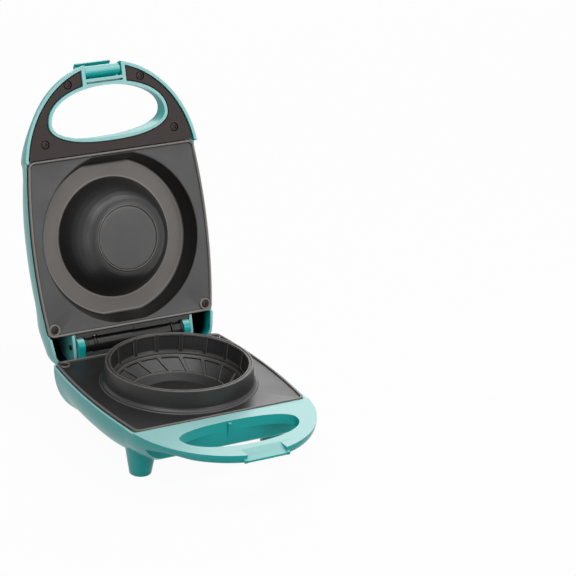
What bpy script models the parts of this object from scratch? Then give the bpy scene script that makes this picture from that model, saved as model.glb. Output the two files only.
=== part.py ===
"""Waffle bowl maker: a hinged countertop baking iron, standing open.

The base and the lid are drawn closed, in one frame: X to the right, Y towards
the hinge, Z up from the parting plane, with the bowl's axis at X = Y = 0.
Empties on the joint axes then open the lid and the latch, and the whole
machine is stood on the floor over the origin.
"""

import math

import bmesh
import bpy
from mathutils import Vector

MM = 0.001

# Baking plates
PLATE_LENGTH = 136.0 * MM
PLATE_MID_WIDTH = 151.0 * MM
PLATE_BOW = 4.8 * MM
PLATE_SHIFT = 0.6 * MM
PLATE_CORNER_RADIUS = 5.0 * MM
PLATE_THICKNESS = 3.0 * MM
PLATE_GAP = 1.0 * MM
BEAD_WIDTH = 2.0 * MM
BEAD_HEIGHT = 1.2 * MM
CASTING_WALL = 3.0 * MM

# Bowl and its collar in the lower plate
COLLAR_MARGIN = 12.0 * MM
COLLAR_HEIGHT = 15.6 * MM
COLLAR_RIM_WIDTH = 3.5 * MM
COLLAR_DRAFT = 1.2 * MM
PANEL_COUNT = 17
RIB_WIDTH = 2.8 * MM
PANEL_RECESS = 1.1 * MM
PANEL_PHASE = math.radians(18.0)
PANEL_SWIRL = math.radians(-11.0)
BOWL_FLOOR_SHARE = 0.5
LEDGE_WIDTH = 2.6 * MM
LEDGE_DEPTH_SHARE = 0.51
TIER_FOOT_SHARE = 0.88
PANEL_TOP_SHARE = 0.06
PANEL_TILT_SHARE = 0.7
BOWL_WALL_SLOPE = 1.6 * MM
BAND_WIDTH_SHARE = 1.3
UNDERSIDE_FLARE_SHARE = 1.2
UNDERSIDE_RISE_SHARE = 0.4

# Pocket and dome in the upper plate
POCKET_MARGIN = 10.4 * MM
POCKET_FLOOR_MARGIN = 5.9 * MM
POCKET_CLEARANCE = 1.2 * MM
POCKET_EDGE = 0.6 * MM
POCKET_END_SLOPE = 6.0 * MM
DOME_MARGIN = 9.0 * MM
DOME_HEIGHT = 26.0 * MM
DOME_DISC_MARGIN = 2.4 * MM
DOME_SHARES = ((0.0, 0.0), (0.25, 0.07), (0.5, 0.19), (0.7, 0.34), (0.85, 0.53), (0.95, 0.76), (1.0, 1.0))
WAFFLE_FLOOR_GAP = 4.3 * MM

# Housings
BORDER_WIDTH = 2.5 * MM
PLATE_CLEARANCE = 0.4 * MM
HOUSING_WALL = 2.8 * MM
BASE_DEPTH = 35.0 * MM
LID_DEPTH = 40.0 * MM
HULL_REACH = 31.0 * MM
HULL_REAR_REACH = 14.0 * MM
HULL_FRONT_REACH = 3.0 * MM
HULL_CORNER_RADIUS = 10.0 * MM
HULL_POWER = 2.2
CROWN_SHARE = 0.2
CROWN_MIDDLE_SHARE = 0.054
CROWN_FLAT_SHARE = 0.147
CROWN_RUN_SHARE = 0.368
HOLLOW_FRONT_SHARE = 0.3
POST_LENGTH_SHARE = 0.6
BASE_REAR_BORDER = 3.2 * MM
BASE_RIM_DROP = 2.2 * MM
LID_RIM_GAP = 0.6 * MM
SPLIT_BACK = 2.0 * MM
TOUCH_GAP = 0.3 * MM

# Handles, alike on the base and the lid
HANDLE_REACH = 82.6 * MM
HANDLE_ROOT_SHARE = 0.406
HANDLE_DEPTH = 8.0 * MM
HANDLE_TOP_DROP = 1.0 * MM
HANDLE_WALL = 2.4 * MM
HANDLE_EDGE_WIDTH = 2.5 * MM
HANDLE_RISE_SHARE = 0.16
GRIP_WIDTH = 18.7 * MM
HOLE_WIDTH_SHARE = 0.6424
HOLE_BRIDGE = 11.1 * MM
HOLE_REAR_SHARE = 0.375
HOLE_FRONT_POWER = 2.1
HOLE_REAR_POWER = 2.3
WALL_RIB_WIDTH = 1.6 * MM
WALL_RIB_REACH = 2.6 * MM
WALL_RIB_SHARE = 0.8

# Handle cover
COVER_RECESS = 0.8 * MM
COVER_THICKNESS = 2.4 * MM
COVER_FIT = 0.4 * MM
COVER_LEDGE = 1.0 * MM
COVER_FRONT_SCREW_SHARE = 0.32
COVER_FRONT_SCREW_Y = 15.2 * MM
COVER_REAR_SCREW_INSET = 15.2 * MM
COVER_REAR_SCREW_Y = 11.6 * MM

# Hinge
HINGE_BEHIND_PLATE = 9.9 * MM
HINGE_HEIGHT = 5.0 * MM
LID_OPEN_ANGLE = math.radians(107.3)
HINGE_PIN_RADIUS = 2.0 * MM
PIN_CLEARANCE = 0.3 * MM
HINGE_BLOCK_WIDTH_SHARE = 0.69
HINGE_BLOCK_LENGTH = 16.2 * MM
HINGE_BLOCK_DEPTH = 24.0 * MM
HINGE_BLOCK_DROP = 3.2 * MM
BLOCK_WALL_SHARE = 0.62
BLOCK_HEEL_SHARE = 0.9
BLOCK_HOLLOW_SHARE = 0.5
BLOCK_TAPER_SHARES = (0.3, 0.7)
EAR_THICKNESS = 5.6 * MM
EAR_RADIUS = 7.0 * MM
KNUCKLE_RADIUS = 6.5 * MM
KNUCKLE_LENGTH = 9.9 * MM
KNUCKLE_PLATE_HEIGHT = 13.0 * MM
KNUCKLE_PLATE_THICKNESS = 1.3 * MM
TUBE_RADIUS = 6.0 * MM
TUBE_BORE_RADIUS = 3.6 * MM
TUBE_END_BORE_LENGTH = 5.0 * MM
ARM_LENGTH = 24.0 * MM
ARM_WALL = 2.4 * MM
ARM_GAP = 1.0 * MM
ARM_LIFT = 1.2 * MM
ARM_END_LIFT = 4.0 * MM
WIRE_COVER_SHEET = 0.8 * MM
WIRE_COVER_EDGE = 1.1 * MM
WIRE_COVER_BAR = (31.0 * MM, 1.8 * MM, 0.7 * MM)

# Latch
LATCH_WIDTH = 30.4 * MM
LATCH_SIDE_GAP = 0.4 * MM
LATCH_POST_WIDTH = 3.0 * MM
LATCH_BARREL_RADIUS = 4.6 * MM
LATCH_PIN_RADIUS = 1.5 * MM
LATCH_SETBACK = 7.7 * MM
LATCH_HEIGHT = 5.2 * MM
LATCH_NECK_RISE = 0.5 * MM
LATCH_NECK_SHARE = 0.62
LATCH_TURN_SHARE = 0.84
LATCH_ARM_THICKNESS = 2.2 * MM
LATCH_ARM_GAP = 0.8 * MM
LATCH_HOOK_REACH = 3.6 * MM
LATCH_HOOK_THICKNESS = 2.2 * MM
LATCH_HOOK_GAP = 0.4 * MM
LATCH_OPEN_ANGLE = math.radians(135.0)
LATCH_BAY_DEPTH = 12.7 * MM
LATCH_SLOT_WIDTH = 1.4 * MM
LATCH_SLOT_DEPTH = 6.0 * MM
LATCH_BAR_WIDTH = 2.3 * MM
NOTCH_SIDE_GAP = 1.1 * MM
NOTCH_LENGTH = 10.0 * MM
NOTCH_SETBACK = 1.7 * MM
NOTCH_DROP = 4.5 * MM
NOTCH_LIP = 1.6 * MM

# Feet
FLOOR_DROP = 46.0 * MM
FOOT_TOP_RADIUS = 13.0 * MM
FOOT_BOTTOM_RADIUS = 8.0 * MM
FOOT_FRONT_INSET = (19.5 * MM, 20.4 * MM)
FOOT_REAR_INSET = (33.5 * MM, 6.6 * MM)
FOOT_ROOT_DROP = 17.0 * MM
PAD_RADIUS = 6.0 * MM
PAD_THICKNESS = 1.6 * MM
PAD_PROUD = 0.6 * MM

# Bottom cover
BOTTOM_COVER_WIDTH_SHARE = 0.424
BOTTOM_COVER_LENGTH_SHARE = 0.412
BOTTOM_COVER_Y = 10.0 * MM
BOTTOM_COVER_THICKNESS = 2.0 * MM
BOTTOM_COVER_LEDGE = 4.0 * MM
BOTTOM_COVER_CORNER = 6.0 * MM
BOTTOM_LEDGE_THICKNESS = 2.0 * MM
BOTTOM_POST_SHARE = 0.7

# Screws
PLATE_SCREW_INSET = 5.8 * MM
PLATE_SCREW_SIDE_INSET = 5.9 * MM
SCREW_HEAD_RADIUS = 2.9 * MM
SCREW_HEAD_HEIGHT = 1.4 * MM
SCREW_TOP_SHARE = 0.7
SCREW_RADIUS = 1.5 * MM
SCREW_LENGTH = 9.0 * MM
COVER_SCREW_LENGTH = 4.2 * MM
COVER_SCREW_WEB = 0.7 * MM
SCREW_POST_RADIUS = 4.0 * MM
PLATE_BOSS_RADIUS = 4.7 * MM
PLATE_BOSS_DROP = 0.25 * MM

# Heating parts
HEATER_TUBE_RADIUS = 3.2 * MM
LOWER_HEATER_MARGIN = 3.6 * MM
UPPER_HEATER_MARGIN = 5.0 * MM
HEATER_GAP_ANGLE = math.radians(36.0)
HEATER_TERMINAL = 5.0 * MM
TERMINAL_GAP_SHARE = 1.4
REFLECTOR_THICKNESS = 0.8 * MM
REFLECTOR_MARGIN = 1.6 * MM
THERMOSTAT_RADIUS = 8.0 * MM
THERMOSTAT_HEIGHT = 8.0 * MM
THERMOSTAT_CAP_SHARE = 0.7
FUSE_RADIUS = 2.2 * MM
FUSE_LENGTH = 14.0 * MM
FUSE_OFFSET = 24.0 * MM
TERMINAL_LENGTH = 30.0 * MM
TERMINAL_WIDTH = 12.0 * MM
TERMINAL_HEIGHT = 7.0 * MM
TERMINAL_WALL_GAP = 12.0 * MM
TERMINAL_SEAT_SHARE = 1.6

# Cord gland
GLAND_X = -24.0 * MM
GLAND_DROP = 12.5 * MM
GLAND_RADIUS = 5.4 * MM
GLAND_FLANGE_RADIUS = 7.4 * MM
GLAND_FLANGE_THICKNESS = 1.6 * MM
GLAND_BORE_RADIUS = 3.4 * MM
GLAND_LENGTH = 7.0 * MM

# Lamps on the lid
LAMP_RADIUS = 3.0 * MM
LAMP_SPACING = 20.0 * MM
LAMP_Y = -2.0 * MM
LAMP_PROUD = 0.7 * MM
LAMP_TOP_SHARE = 0.7
LAMP_COLLAR_GAP = 1.0 * MM
LAMP_BASE_RADIUS = 4.2 * MM
BOARD_LENGTH = 37.0 * MM
BOARD_WIDTH = 13.0 * MM
BOARD_THICKNESS = 1.6 * MM
BOARD_DROP = 7.5 * MM
BOARD_POST_WIDTH = 3.0 * MM

# Drawing resolution and one overrun for all cuts
OVERRUN = 2.0 * MM
WELD_DISTANCE = 0.004 * MM
FLAT_ANGLE = math.radians(0.4)
FINE_STEPS = 52
MEDIUM_STEPS = 24
SMALL_STEPS = 10
HEATER_SIDES = 6
HEATER_STEPS = 14
PAD_STEPS = 14
SCREW_STEPS = 8
HANDLE_STEPS = 12
SIDE_STEPS = 4
CORNER_STEPS = 3
HULL_STEPS = 6

# Sizes that follow from others
PLATE_END_WIDTH = PLATE_MID_WIDTH - PLATE_BOW * 2
COLLAR_RADIUS = min(PLATE_LENGTH, PLATE_END_WIDTH) / 2 - COLLAR_MARGIN
BOWL_FLOOR_RADIUS = COLLAR_RADIUS * BOWL_FLOOR_SHARE
BAND_RADIUS = BOWL_FLOOR_RADIUS * BAND_WIDTH_SHARE
POCKET_RADIUS = COLLAR_RADIUS + POCKET_MARGIN
POCKET_FLOOR_RADIUS = COLLAR_RADIUS + POCKET_FLOOR_MARGIN
DOME_RADIUS = COLLAR_RADIUS - DOME_MARGIN
DOME_DISC_RADIUS = BOWL_FLOOR_RADIUS - DOME_DISC_MARGIN
LOWER_HEATER_RADIUS = COLLAR_RADIUS + LOWER_HEATER_MARGIN
UPPER_HEATER_RADIUS = DOME_RADIUS + UPPER_HEATER_MARGIN
HOLE_WIDTH = PLATE_MID_WIDTH * HOLE_WIDTH_SHARE
COVER_FRONT_SCREW_X = HOLE_WIDTH * COVER_FRONT_SCREW_SHARE
COVER_REAR_SCREW_X = PLATE_END_WIDTH / 2 - COVER_REAR_SCREW_INSET
HINGE_BLOCK_WIDTH = PLATE_END_WIDTH * HINGE_BLOCK_WIDTH_SHARE
NOTCH_WIDTH = LATCH_WIDTH + NOTCH_SIDE_GAP * 2
BOTTOM_COVER_WIDTH = PLATE_MID_WIDTH * BOTTOM_COVER_WIDTH_SHARE
BOTTOM_COVER_LENGTH = PLATE_LENGTH * BOTTOM_COVER_LENGTH_SHARE

# Places that follow from the sizes
PLATE_FRONT = PLATE_SHIFT - PLATE_LENGTH / 2
PLATE_REAR = PLATE_SHIFT + PLATE_LENGTH / 2
LOWER_FACE = -BEAD_HEIGHT
LOWER_BACK = LOWER_FACE - PLATE_THICKNESS
UPPER_FACE = PLATE_GAP + BEAD_HEIGHT
UPPER_BACK = UPPER_FACE + PLATE_THICKNESS
POCKET_ROOF = COLLAR_HEIGHT + POCKET_CLEARANCE
POCKET_BACK = POCKET_ROOF + CASTING_WALL
DOME_TIP = POCKET_ROOF - DOME_HEIGHT
BOWL_FLOOR = DOME_TIP - WAFFLE_FLOOR_GAP
BOWL_UNDERSIDE = BOWL_FLOOR - CASTING_WALL
HANDLE_TOP = -HANDLE_TOP_DROP
BASE_RIM = -BASE_RIM_DROP
LID_RIM = BASE_RIM + LID_RIM_GAP
LID_HANDLE_EDGE = HANDLE_TOP + LID_RIM_GAP
HANDLE_ROOT = PLATE_SHIFT - PLATE_LENGTH * HANDLE_ROOT_SHARE
HANDLE_FRONT = HANDLE_ROOT - HANDLE_REACH
HOLE_REAR = PLATE_FRONT - HOLE_BRIDGE
HOLE_FRONT = HANDLE_FRONT + GRIP_WIDTH
HOLE_LENGTH = HOLE_REAR - HOLE_FRONT
HOLE_MIDDLE = HOLE_REAR - HOLE_LENGTH * HOLE_REAR_SHARE
BASE_REAR = PLATE_REAR + BASE_REAR_BORDER
LID_BACK = PLATE_REAR + PLATE_CLEARANCE + SPLIT_BACK
LID_REAR = PLATE_REAR + ARM_LENGTH
HINGE_Y = PLATE_REAR + HINGE_BEHIND_PLATE
HINGE_Z = HINGE_HEIGHT
EAR_OUTER = HINGE_BLOCK_WIDTH / 2
EAR_INNER = EAR_OUTER - EAR_THICKNESS
KNUCKLE_OUTER = EAR_INNER - TOUCH_GAP * 2
KNUCKLE_INNER = KNUCKLE_OUTER - KNUCKLE_LENGTH
TUBE_HALF = KNUCKLE_INNER - TOUCH_GAP * 2
ARM_INNER = EAR_OUTER + ARM_GAP
PIN_HOLE = HINGE_PIN_RADIUS + PIN_CLEARANCE
LATCH_Y = HANDLE_FRONT + LATCH_SETBACK
LATCH_Z = LATCH_HEIGHT
NOTCH_REAR = HANDLE_FRONT + NOTCH_SETBACK + NOTCH_LENGTH
NOTCH_FRONT = HANDLE_FRONT + NOTCH_SETBACK
NOTCH_FLOOR = HANDLE_TOP - NOTCH_DROP
LIP_UNDERSIDE = NOTCH_FLOOR - NOTCH_LIP
LATCH_BAY_HALF = LATCH_WIDTH / 2 + LATCH_SIDE_GAP
LATCH_POST_OUTER = LATCH_BAY_HALF + LATCH_POST_WIDTH
LATCH_BAY_REAR = HANDLE_FRONT + LATCH_BAY_DEPTH
PLATE_SCREW_Y = PLATE_REAR - PLATE_SCREW_INSET
PLATE_SCREW_RUN = (PLATE_SCREW_Y - PLATE_SHIFT) / (PLATE_LENGTH / 2)
PLATE_SCREW_X = PLATE_MID_WIDTH / 2 - PLATE_BOW * PLATE_SCREW_RUN ** 2 - PLATE_SCREW_SIDE_INSET
FOOT_FRONT = (PLATE_MID_WIDTH / 2 - FOOT_FRONT_INSET[0], PLATE_FRONT + FOOT_FRONT_INSET[1])
FOOT_REAR = (PLATE_MID_WIDTH / 2 - FOOT_REAR_INSET[0], PLATE_REAR - FOOT_REAR_INSET[1])
LOWER_HEATER_Z = LOWER_BACK - TOUCH_GAP - HEATER_TUBE_RADIUS
UPPER_HEATER_Z = POCKET_BACK + TOUCH_GAP + HEATER_TUBE_RADIUS

COLOURS = {
    "aqua": (0.155, 0.584, 0.552),
    "black": (0.047, 0.031, 0.027),
    "coating": (0.072, 0.068, 0.070),
    "steel": (0.45, 0.45, 0.46),
    "aluminium": (0.62, 0.63, 0.64),
    "rubber": (0.03, 0.03, 0.03),
    "cream": (0.75, 0.70, 0.58),
    "red_lens": (0.60, 0.03, 0.02),
    "green_lens": (0.03, 0.42, 0.10),
    "board": (0.05, 0.20, 0.08),
}


def clear_scene():
    for item in list(bpy.data.objects):
        bpy.data.objects.remove(item, do_unlink=True)


def material(name, colour, roughness, metallic):
    """A plain Principled BSDF for one node."""
    made = bpy.data.materials.new(name)
    made.use_nodes = True
    shader = made.node_tree.nodes["Principled BSDF"]
    shader.inputs["Base Color"].default_value = (*COLOURS[colour], 1.0)
    shader.inputs["Roughness"].default_value = roughness
    shader.inputs["Metallic"].default_value = metallic
    return made


def object_from(name, bm):
    """Close the mesh, turn its faces outwards and put it in the scene."""
    bmesh.ops.remove_doubles(bm, verts=bm.verts, dist=0.00001)
    bmesh.ops.recalc_face_normals(bm, faces=bm.faces)
    mesh = bpy.data.meshes.new(name)
    bm.to_mesh(mesh)
    bm.free()
    made = bpy.data.objects.new(name, mesh)
    bpy.context.scene.collection.objects.link(made)
    return made


def combine(target, tool, operation):
    """Apply one Boolean to the target and remove the tool."""
    modifier = target.modifiers.new(operation, "BOOLEAN")
    modifier.operation = operation
    modifier.solver = "EXACT"
    modifier.object = tool
    bpy.context.view_layer.update()
    graph = bpy.context.evaluated_depsgraph_get()
    mesh = bpy.data.meshes.new_from_object(target.evaluated_get(graph))
    target.modifiers.remove(modifier)
    target.data = mesh
    bpy.data.objects.remove(tool, do_unlink=True)
    tidy(target)
    return target


def tidy(target):
    """Weld the points that a Boolean leaves almost together, and merge faces that lie in one plane."""
    bm = bmesh.new()
    bm.from_mesh(target.data)
    bmesh.ops.remove_doubles(bm, verts=bm.verts, dist=WELD_DISTANCE)
    bmesh.ops.dissolve_degenerate(bm, edges=bm.edges, dist=WELD_DISTANCE)
    bmesh.ops.dissolve_limit(bm, angle_limit=FLAT_ANGLE, verts=bm.verts, edges=bm.edges)
    bm.to_mesh(target.data)
    bm.free()


def cut(target, tool):
    return combine(target, tool, "DIFFERENCE")


def join(target, tool):
    return combine(target, tool, "UNION")


def common(target, tool):
    return combine(target, tool, "INTERSECT")


def skin(name, rings, caps=True):
    """A solid through closed rings of points, with its ends filled."""
    bm = bmesh.new()
    rows = [[bm.verts.new(point) for point in ring] for ring in rings]
    count = len(rows[0])
    for lower, upper in zip(rows, rows[1:]):
        for i in range(count):
            j = (i + 1) % count
            bm.faces.new((lower[i], lower[j], upper[j], upper[i]))
    if caps:
        bm.faces.new(rows[0][::-1])
        bm.faces.new(rows[-1])
    return object_from(name, bm)


def prism_z(name, outline, bottom, top):
    return skin(name, [[(x, y, bottom) for x, y in outline], [(x, y, top) for x, y in outline]])


def prism_x(name, profile, left, right):
    return skin(name, [[(left, y, z) for y, z in profile], [(right, y, z) for y, z in profile]])


def block(name, low, high):
    outline = [(low[0], low[1]), (high[0], low[1]), (high[0], high[1]), (low[0], high[1])]
    return prism_z(name, outline, low[2], high[2])


def turned(name, profile, steps, centre=(0.0, 0.0, 0.0), axis="Z"):
    """A solid of revolution from (radius, height) points, whose ends lie on the axis or meet."""
    bm = bmesh.new()
    closed = profile[0] == profile[-1]
    points = profile[:-1] if closed else profile
    rows = []
    for radius, height in points:
        if radius == 0.0:
            rows.append([bm.verts.new((0.0, 0.0, height))])
            continue
        row = []
        for i in range(steps):
            angle = 2 * math.pi * i / steps
            row.append(bm.verts.new((radius * math.cos(angle), radius * math.sin(angle), height)))
        rows.append(row)
    pairs = list(zip(rows, rows[1:]))
    if closed:
        pairs.append((rows[-1], rows[0]))
    for lower, upper in pairs:
        for i in range(steps):
            j = (i + 1) % steps
            below = [lower[i % len(lower)], lower[j % len(lower)]]
            above = [upper[j % len(upper)], upper[i % len(upper)]]
            bm.faces.new(list(dict.fromkeys(below + above)))
    for vert in bm.verts:
        x, y, z = vert.co
        turned_place = {"X": (z, x, y), "Y": (x, z, y), "Z": (x, y, z)}[axis]
        vert.co = Vector(turned_place) + Vector(centre)
    return object_from(name, bm)


def cylinder(name, radius, low, high, steps, centre=(0.0, 0.0, 0.0), axis="Z"):
    profile = [(0.0, low), (radius, low), (radius, high), (0.0, high)]
    return turned(name, profile, steps, centre, axis)


def smooth_step(low, high, value):
    share = min(1.0, max(0.0, (value - low) / (high - low)))
    return share * share * (3 - 2 * share)


def barrel_x(y, grow):
    """Half width at y of the plates' bowed sides, moved out by grow."""
    share = (y - PLATE_SHIFT) / (PLATE_LENGTH / 2)
    return PLATE_MID_WIDTH / 2 + grow - PLATE_BOW * share * share


def corner_points(centre_x, centre_y, radius, start, end):
    points = []
    for i in range(CORNER_STEPS + 1):
        angle = math.radians(start + (end - start) * i / CORNER_STEPS)
        points.append((centre_x + radius * math.cos(angle), centre_y + radius * math.sin(angle)))
    return points


def side_points(front, rear, grow):
    points = []
    for i in range(SIDE_STEPS + 1):
        y = front + (rear - front) * i / SIDE_STEPS
        points.append((barrel_x(y, grow), y))
    return points


def barrel_half(front, rear, grow, radius):
    """Right half of a bowed rectangle, from its front edge to its rear edge."""
    front_corner = corner_points(barrel_x(front + radius, grow) - radius, front + radius, radius, -90, 0)
    rear_corner = corner_points(barrel_x(rear - radius, grow) - radius, rear - radius, radius, 0, 90)
    return front_corner + side_points(front + radius, rear - radius, grow)[1:-1] + rear_corner


def handle_half(grow):
    """Right half of the D outline, from its front point to where the sides begin."""
    width = barrel_x(HANDLE_ROOT, grow)
    beyond = grow - BORDER_WIDTH
    points = []
    for i in range(HANDLE_STEPS + 1):
        angle = math.pi / 2 * i / HANDLE_STEPS
        points.append((width * math.sin(angle), HANDLE_ROOT - (HANDLE_REACH + beyond) * math.cos(angle)))
    points[0] = (0.0, points[0][1])
    return points


def housing_half(rear, grow):
    radius = HULL_CORNER_RADIUS + grow
    rear_corner = corner_points(barrel_x(rear + grow - radius, BORDER_WIDTH + grow) - radius,
                                rear + grow - radius, radius, 0, 90)
    sides = side_points(HANDLE_ROOT, rear + grow - radius, BORDER_WIDTH + grow)
    return handle_half(BORDER_WIDTH + grow) + sides[1:-1] + rear_corner


def full(half):
    """Whole outline from its right half, which may start or end on the middle line."""
    left = [(-x, y) for x, y in reversed(half) if x > 0.0]
    return list(half) + left


def hole_outline(grow):
    """Finger hole through both handles: flatter towards the plate, an arch in front."""
    half_width = HOLE_WIDTH / 2 + grow
    points = []
    steps = 2 * SMALL_STEPS + SMALL_STEPS
    for i in range(steps):
        angle = 2 * math.pi * i / steps
        across = math.cos(angle)
        along = math.sin(angle)
        rear = along > 0.0
        power = HOLE_REAR_POWER if rear else HOLE_FRONT_POWER
        reach = (HOLE_REAR - HOLE_MIDDLE if rear else HOLE_MIDDLE - HOLE_FRONT) + grow
        x = half_width * math.copysign(abs(across) ** (2 / power), across)
        y = HOLE_MIDDLE + reach * math.copysign(abs(along) ** (2 / power), along)
        points.append((x, y))
    return points


def crown_depth(y, depth):
    """Depth of a housing along its length: flat in the middle, less towards both ends."""
    middle = PLATE_SHIFT + PLATE_LENGTH * CROWN_MIDDLE_SHARE
    away = max(0.0, abs(y - middle) - PLATE_LENGTH * CROWN_FLAT_SHARE)
    share = away / (PLATE_LENGTH * CROWN_RUN_SHARE)
    body = depth * (1 - CROWN_SHARE * share * share)
    rise = smooth_step(HOLE_FRONT + HANDLE_RISE_SHARE * HOLE_LENGTH, PLATE_FRONT, y)
    return HANDLE_DEPTH + (body - HANDLE_DEPTH) * rise


def hull_reach(y):
    """How far in the rounded side runs before the outside is flat."""
    front = smooth_step(HOLE_FRONT, PLATE_FRONT * (1 - CROWN_SHARE), y)
    rear = smooth_step(PLATE_REAR * (1 - 2 * CROWN_SHARE), PLATE_REAR, y)
    body = HULL_REACH + (HULL_REAR_REACH - HULL_REACH) * rear
    return HULL_FRONT_REACH + (body - HULL_FRONT_REACH) * front


def hull(name, half, direction, depth, wall, seam, open_to, front_share=1.0):
    """Moulded form that rounds in from an outline, below (-1) or above (+1) the parting plane."""
    width = max(x for x, y in half)
    front = -min(y for x, y in half)
    rear = max(y for x, y in half)
    rings = [[(x, y, open_to) for x, y in half]]
    for step in range(HULL_STEPS + 1):
        angle = math.pi / 2 * step / HULL_STEPS
        inward = 1 - max(0.0, math.cos(angle)) ** (2 / HULL_POWER)
        down = math.sin(angle) ** (2 / HULL_POWER)
        ring = []
        for x, y in half:
            inset = hull_reach(y) * inward
            span = front if y < 0.0 else rear
            new_y = y * (1 - inset * (front_share if y < 0.0 else 1.0) / span)
            local = crown_depth(new_y, depth) - wall
            ring.append((x * (1 - inset / width), new_y, direction * (seam + (local - seam) * down)))
        rings.append(ring)
    bm = bmesh.new()
    rows = []
    for ring in rings:
        right = [bm.verts.new(point) for point in ring]
        left = [v if v.co.x == 0.0 else bm.verts.new((-v.co.x, v.co.y, v.co.z)) for v in right]
        rows.append((right, left))
    for (right_a, left_a), (right_b, left_b) in zip(rows, rows[1:]):
        for i in range(len(half) - 1):
            bm.faces.new((right_a[i], right_a[i + 1], right_b[i + 1], right_b[i]))
            bm.faces.new((left_a[i], left_b[i], left_b[i + 1], left_a[i + 1]))
        for i in (0, -1):
            if right_a[i] is not left_a[i]:
                bm.faces.new((right_a[i], right_b[i], left_b[i], left_a[i]))
    for right, left in (rows[0], rows[-1]):
        for i in range(len(half) - 1):
            corners = [right[i], right[i + 1], left[i + 1], left[i]]
            bm.faces.new(list(dict.fromkeys(corners)))
    return object_from(name, bm)


def screw(name, x, y, seat, direction, length=SCREW_LENGTH):
    """Pan-head screw whose head's underside lies a touching gap off its seat; direction is its head's."""
    lift = seat + direction * TOUCH_GAP
    profile = [(0.0, lift + direction * SCREW_HEAD_HEIGHT),
               (SCREW_HEAD_RADIUS * SCREW_TOP_SHARE, lift + direction * SCREW_HEAD_HEIGHT),
               (SCREW_HEAD_RADIUS, lift + direction * SCREW_HEAD_HEIGHT / 2),
               (SCREW_HEAD_RADIUS, lift),
               (SCREW_RADIUS, lift),
               (SCREW_RADIUS, lift - direction * (length - SCREW_RADIUS)),
               (0.0, lift - direction * length)]
    return turned(name, profile, SCREW_STEPS, (x, y, 0.0))


def flange(name, face, back, bead_edge):
    """Flat plate with bowed sides, from its back to its face, with a raised bead along its edge."""
    outer = full(barrel_half(PLATE_FRONT, PLATE_REAR, 0.0, PLATE_CORNER_RADIUS))
    inner = full(barrel_half(PLATE_FRONT + BEAD_WIDTH, PLATE_REAR - BEAD_WIDTH, -BEAD_WIDTH,
                             PLATE_CORNER_RADIUS - BEAD_WIDTH))
    rings = [[(x, y, back) for x, y in outer],
             [(x, y, bead_edge) for x, y in outer],
             [(x, y, bead_edge) for x, y in inner],
             [(x, y, face) for x, y in inner]]
    return skin(name, rings)


def panelled_bowl(name):
    """Cutter for the bowl: two tiers of recessed panels, a smooth band and a flat floor."""
    rim = COLLAR_RADIUS - COLLAR_RIM_WIDTH
    depth = COLLAR_HEIGHT - BOWL_FLOOR
    panel_top = COLLAR_HEIGHT - depth * PANEL_TOP_SHARE
    ledge = COLLAR_HEIGHT - depth * LEDGE_DEPTH_SHARE
    tier_foot = COLLAR_HEIGHT - depth * TIER_FOOT_SHARE
    wall_foot = rim - BOWL_WALL_SLOPE
    ledge_inner = rim - LEDGE_WIDTH - PANEL_RECESS * 2
    tilt = PANEL_RECESS * PANEL_TILT_SHARE
    step = PANEL_RECESS / 2
    rows = [(rim, COLLAR_HEIGHT + OVERRUN, 0.0, 0.0, 0.0),
            (rim, panel_top, 0.0, 0.0, 0.0),
            (rim - step, panel_top - step, PANEL_RECESS, 0.0, 0.0),
            (wall_foot, ledge + step * 2, PANEL_RECESS, 0.0, 0.0),
            (wall_foot - step / 2, ledge, 0.0, 0.0, 0.0),
            (ledge_inner, ledge - step * 2, 0.0, 0.0, 0.0),
            (ledge_inner - step, ledge - step * 3, 0.0, 0.0, 0.0),
            (ledge_inner - step * 2, ledge - step * 5, tilt, tilt, 0.0),
            (BAND_RADIUS + step * 2, tier_foot + step, tilt, tilt, 1.0),
            (BAND_RADIUS, tier_foot, 0.0, 0.0, 1.0),
            (BOWL_FLOOR_RADIUS + step * 2, BOWL_FLOOR + step, 0.0, 0.0, 1.0),
            (BOWL_FLOOR_RADIUS, BOWL_FLOOR, 0.0, 0.0, 1.0)]
    bm = bmesh.new()
    grid = []
    for radius, height, out, down, swirl in rows:
        row = []
        for panel in range(PANEL_COUNT):
            start = PANEL_PHASE + 2 * math.pi * panel / PANEL_COUNT + PANEL_SWIRL * swirl
            pitch = 2 * math.pi / PANEL_COUNT
            rib = RIB_WIDTH / rim / 2
            edge = rib + step / rim
            for angle, deep in ((-rib, 0), (rib, 0), (edge, 1), (pitch - edge, 1)):
                where = start + angle
                reach = radius + out * deep
                place = (reach * math.cos(where), reach * math.sin(where), height - down * deep)
                row.append(bm.verts.new(place))
        grid.append(row)
    count = len(grid[0])
    for upper, lower in zip(grid, grid[1:]):
        for i in range(count):
            j = (i + 1) % count
            bm.faces.new((upper[i], lower[i], lower[j], upper[j]))
    bm.faces.new(grid[0])
    bm.faces.new(grid[-1][::-1])
    return object_from(name, bm)


def screw_bosses(plate, face, proud, back):
    """Rings round the plate's two screws, and the holes through them."""
    direction = 1 if proud > face else -1
    proud -= direction * PLATE_BOSS_DROP
    for side in (-1, 1):
        place = (side * PLATE_SCREW_X, PLATE_SCREW_Y, 0.0)
        root = face - direction * PLATE_THICKNESS / 2
        join(plate, cylinder("boss", PLATE_BOSS_RADIUS, root, proud, SMALL_STEPS * 2, place))
        well = SCREW_HEAD_RADIUS + TOUCH_GAP
        seat = plate_screw_seat(face, direction)
        cut(plate, cylinder("well", well, seat, proud + direction * OVERRUN, SCREW_STEPS, place))
        bore = SCREW_RADIUS + TOUCH_GAP
        foot = back - direction * OVERRUN
        cut(plate, cylinder("bore", bore, foot, proud + direction * OVERRUN, SCREW_STEPS, place))


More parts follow.
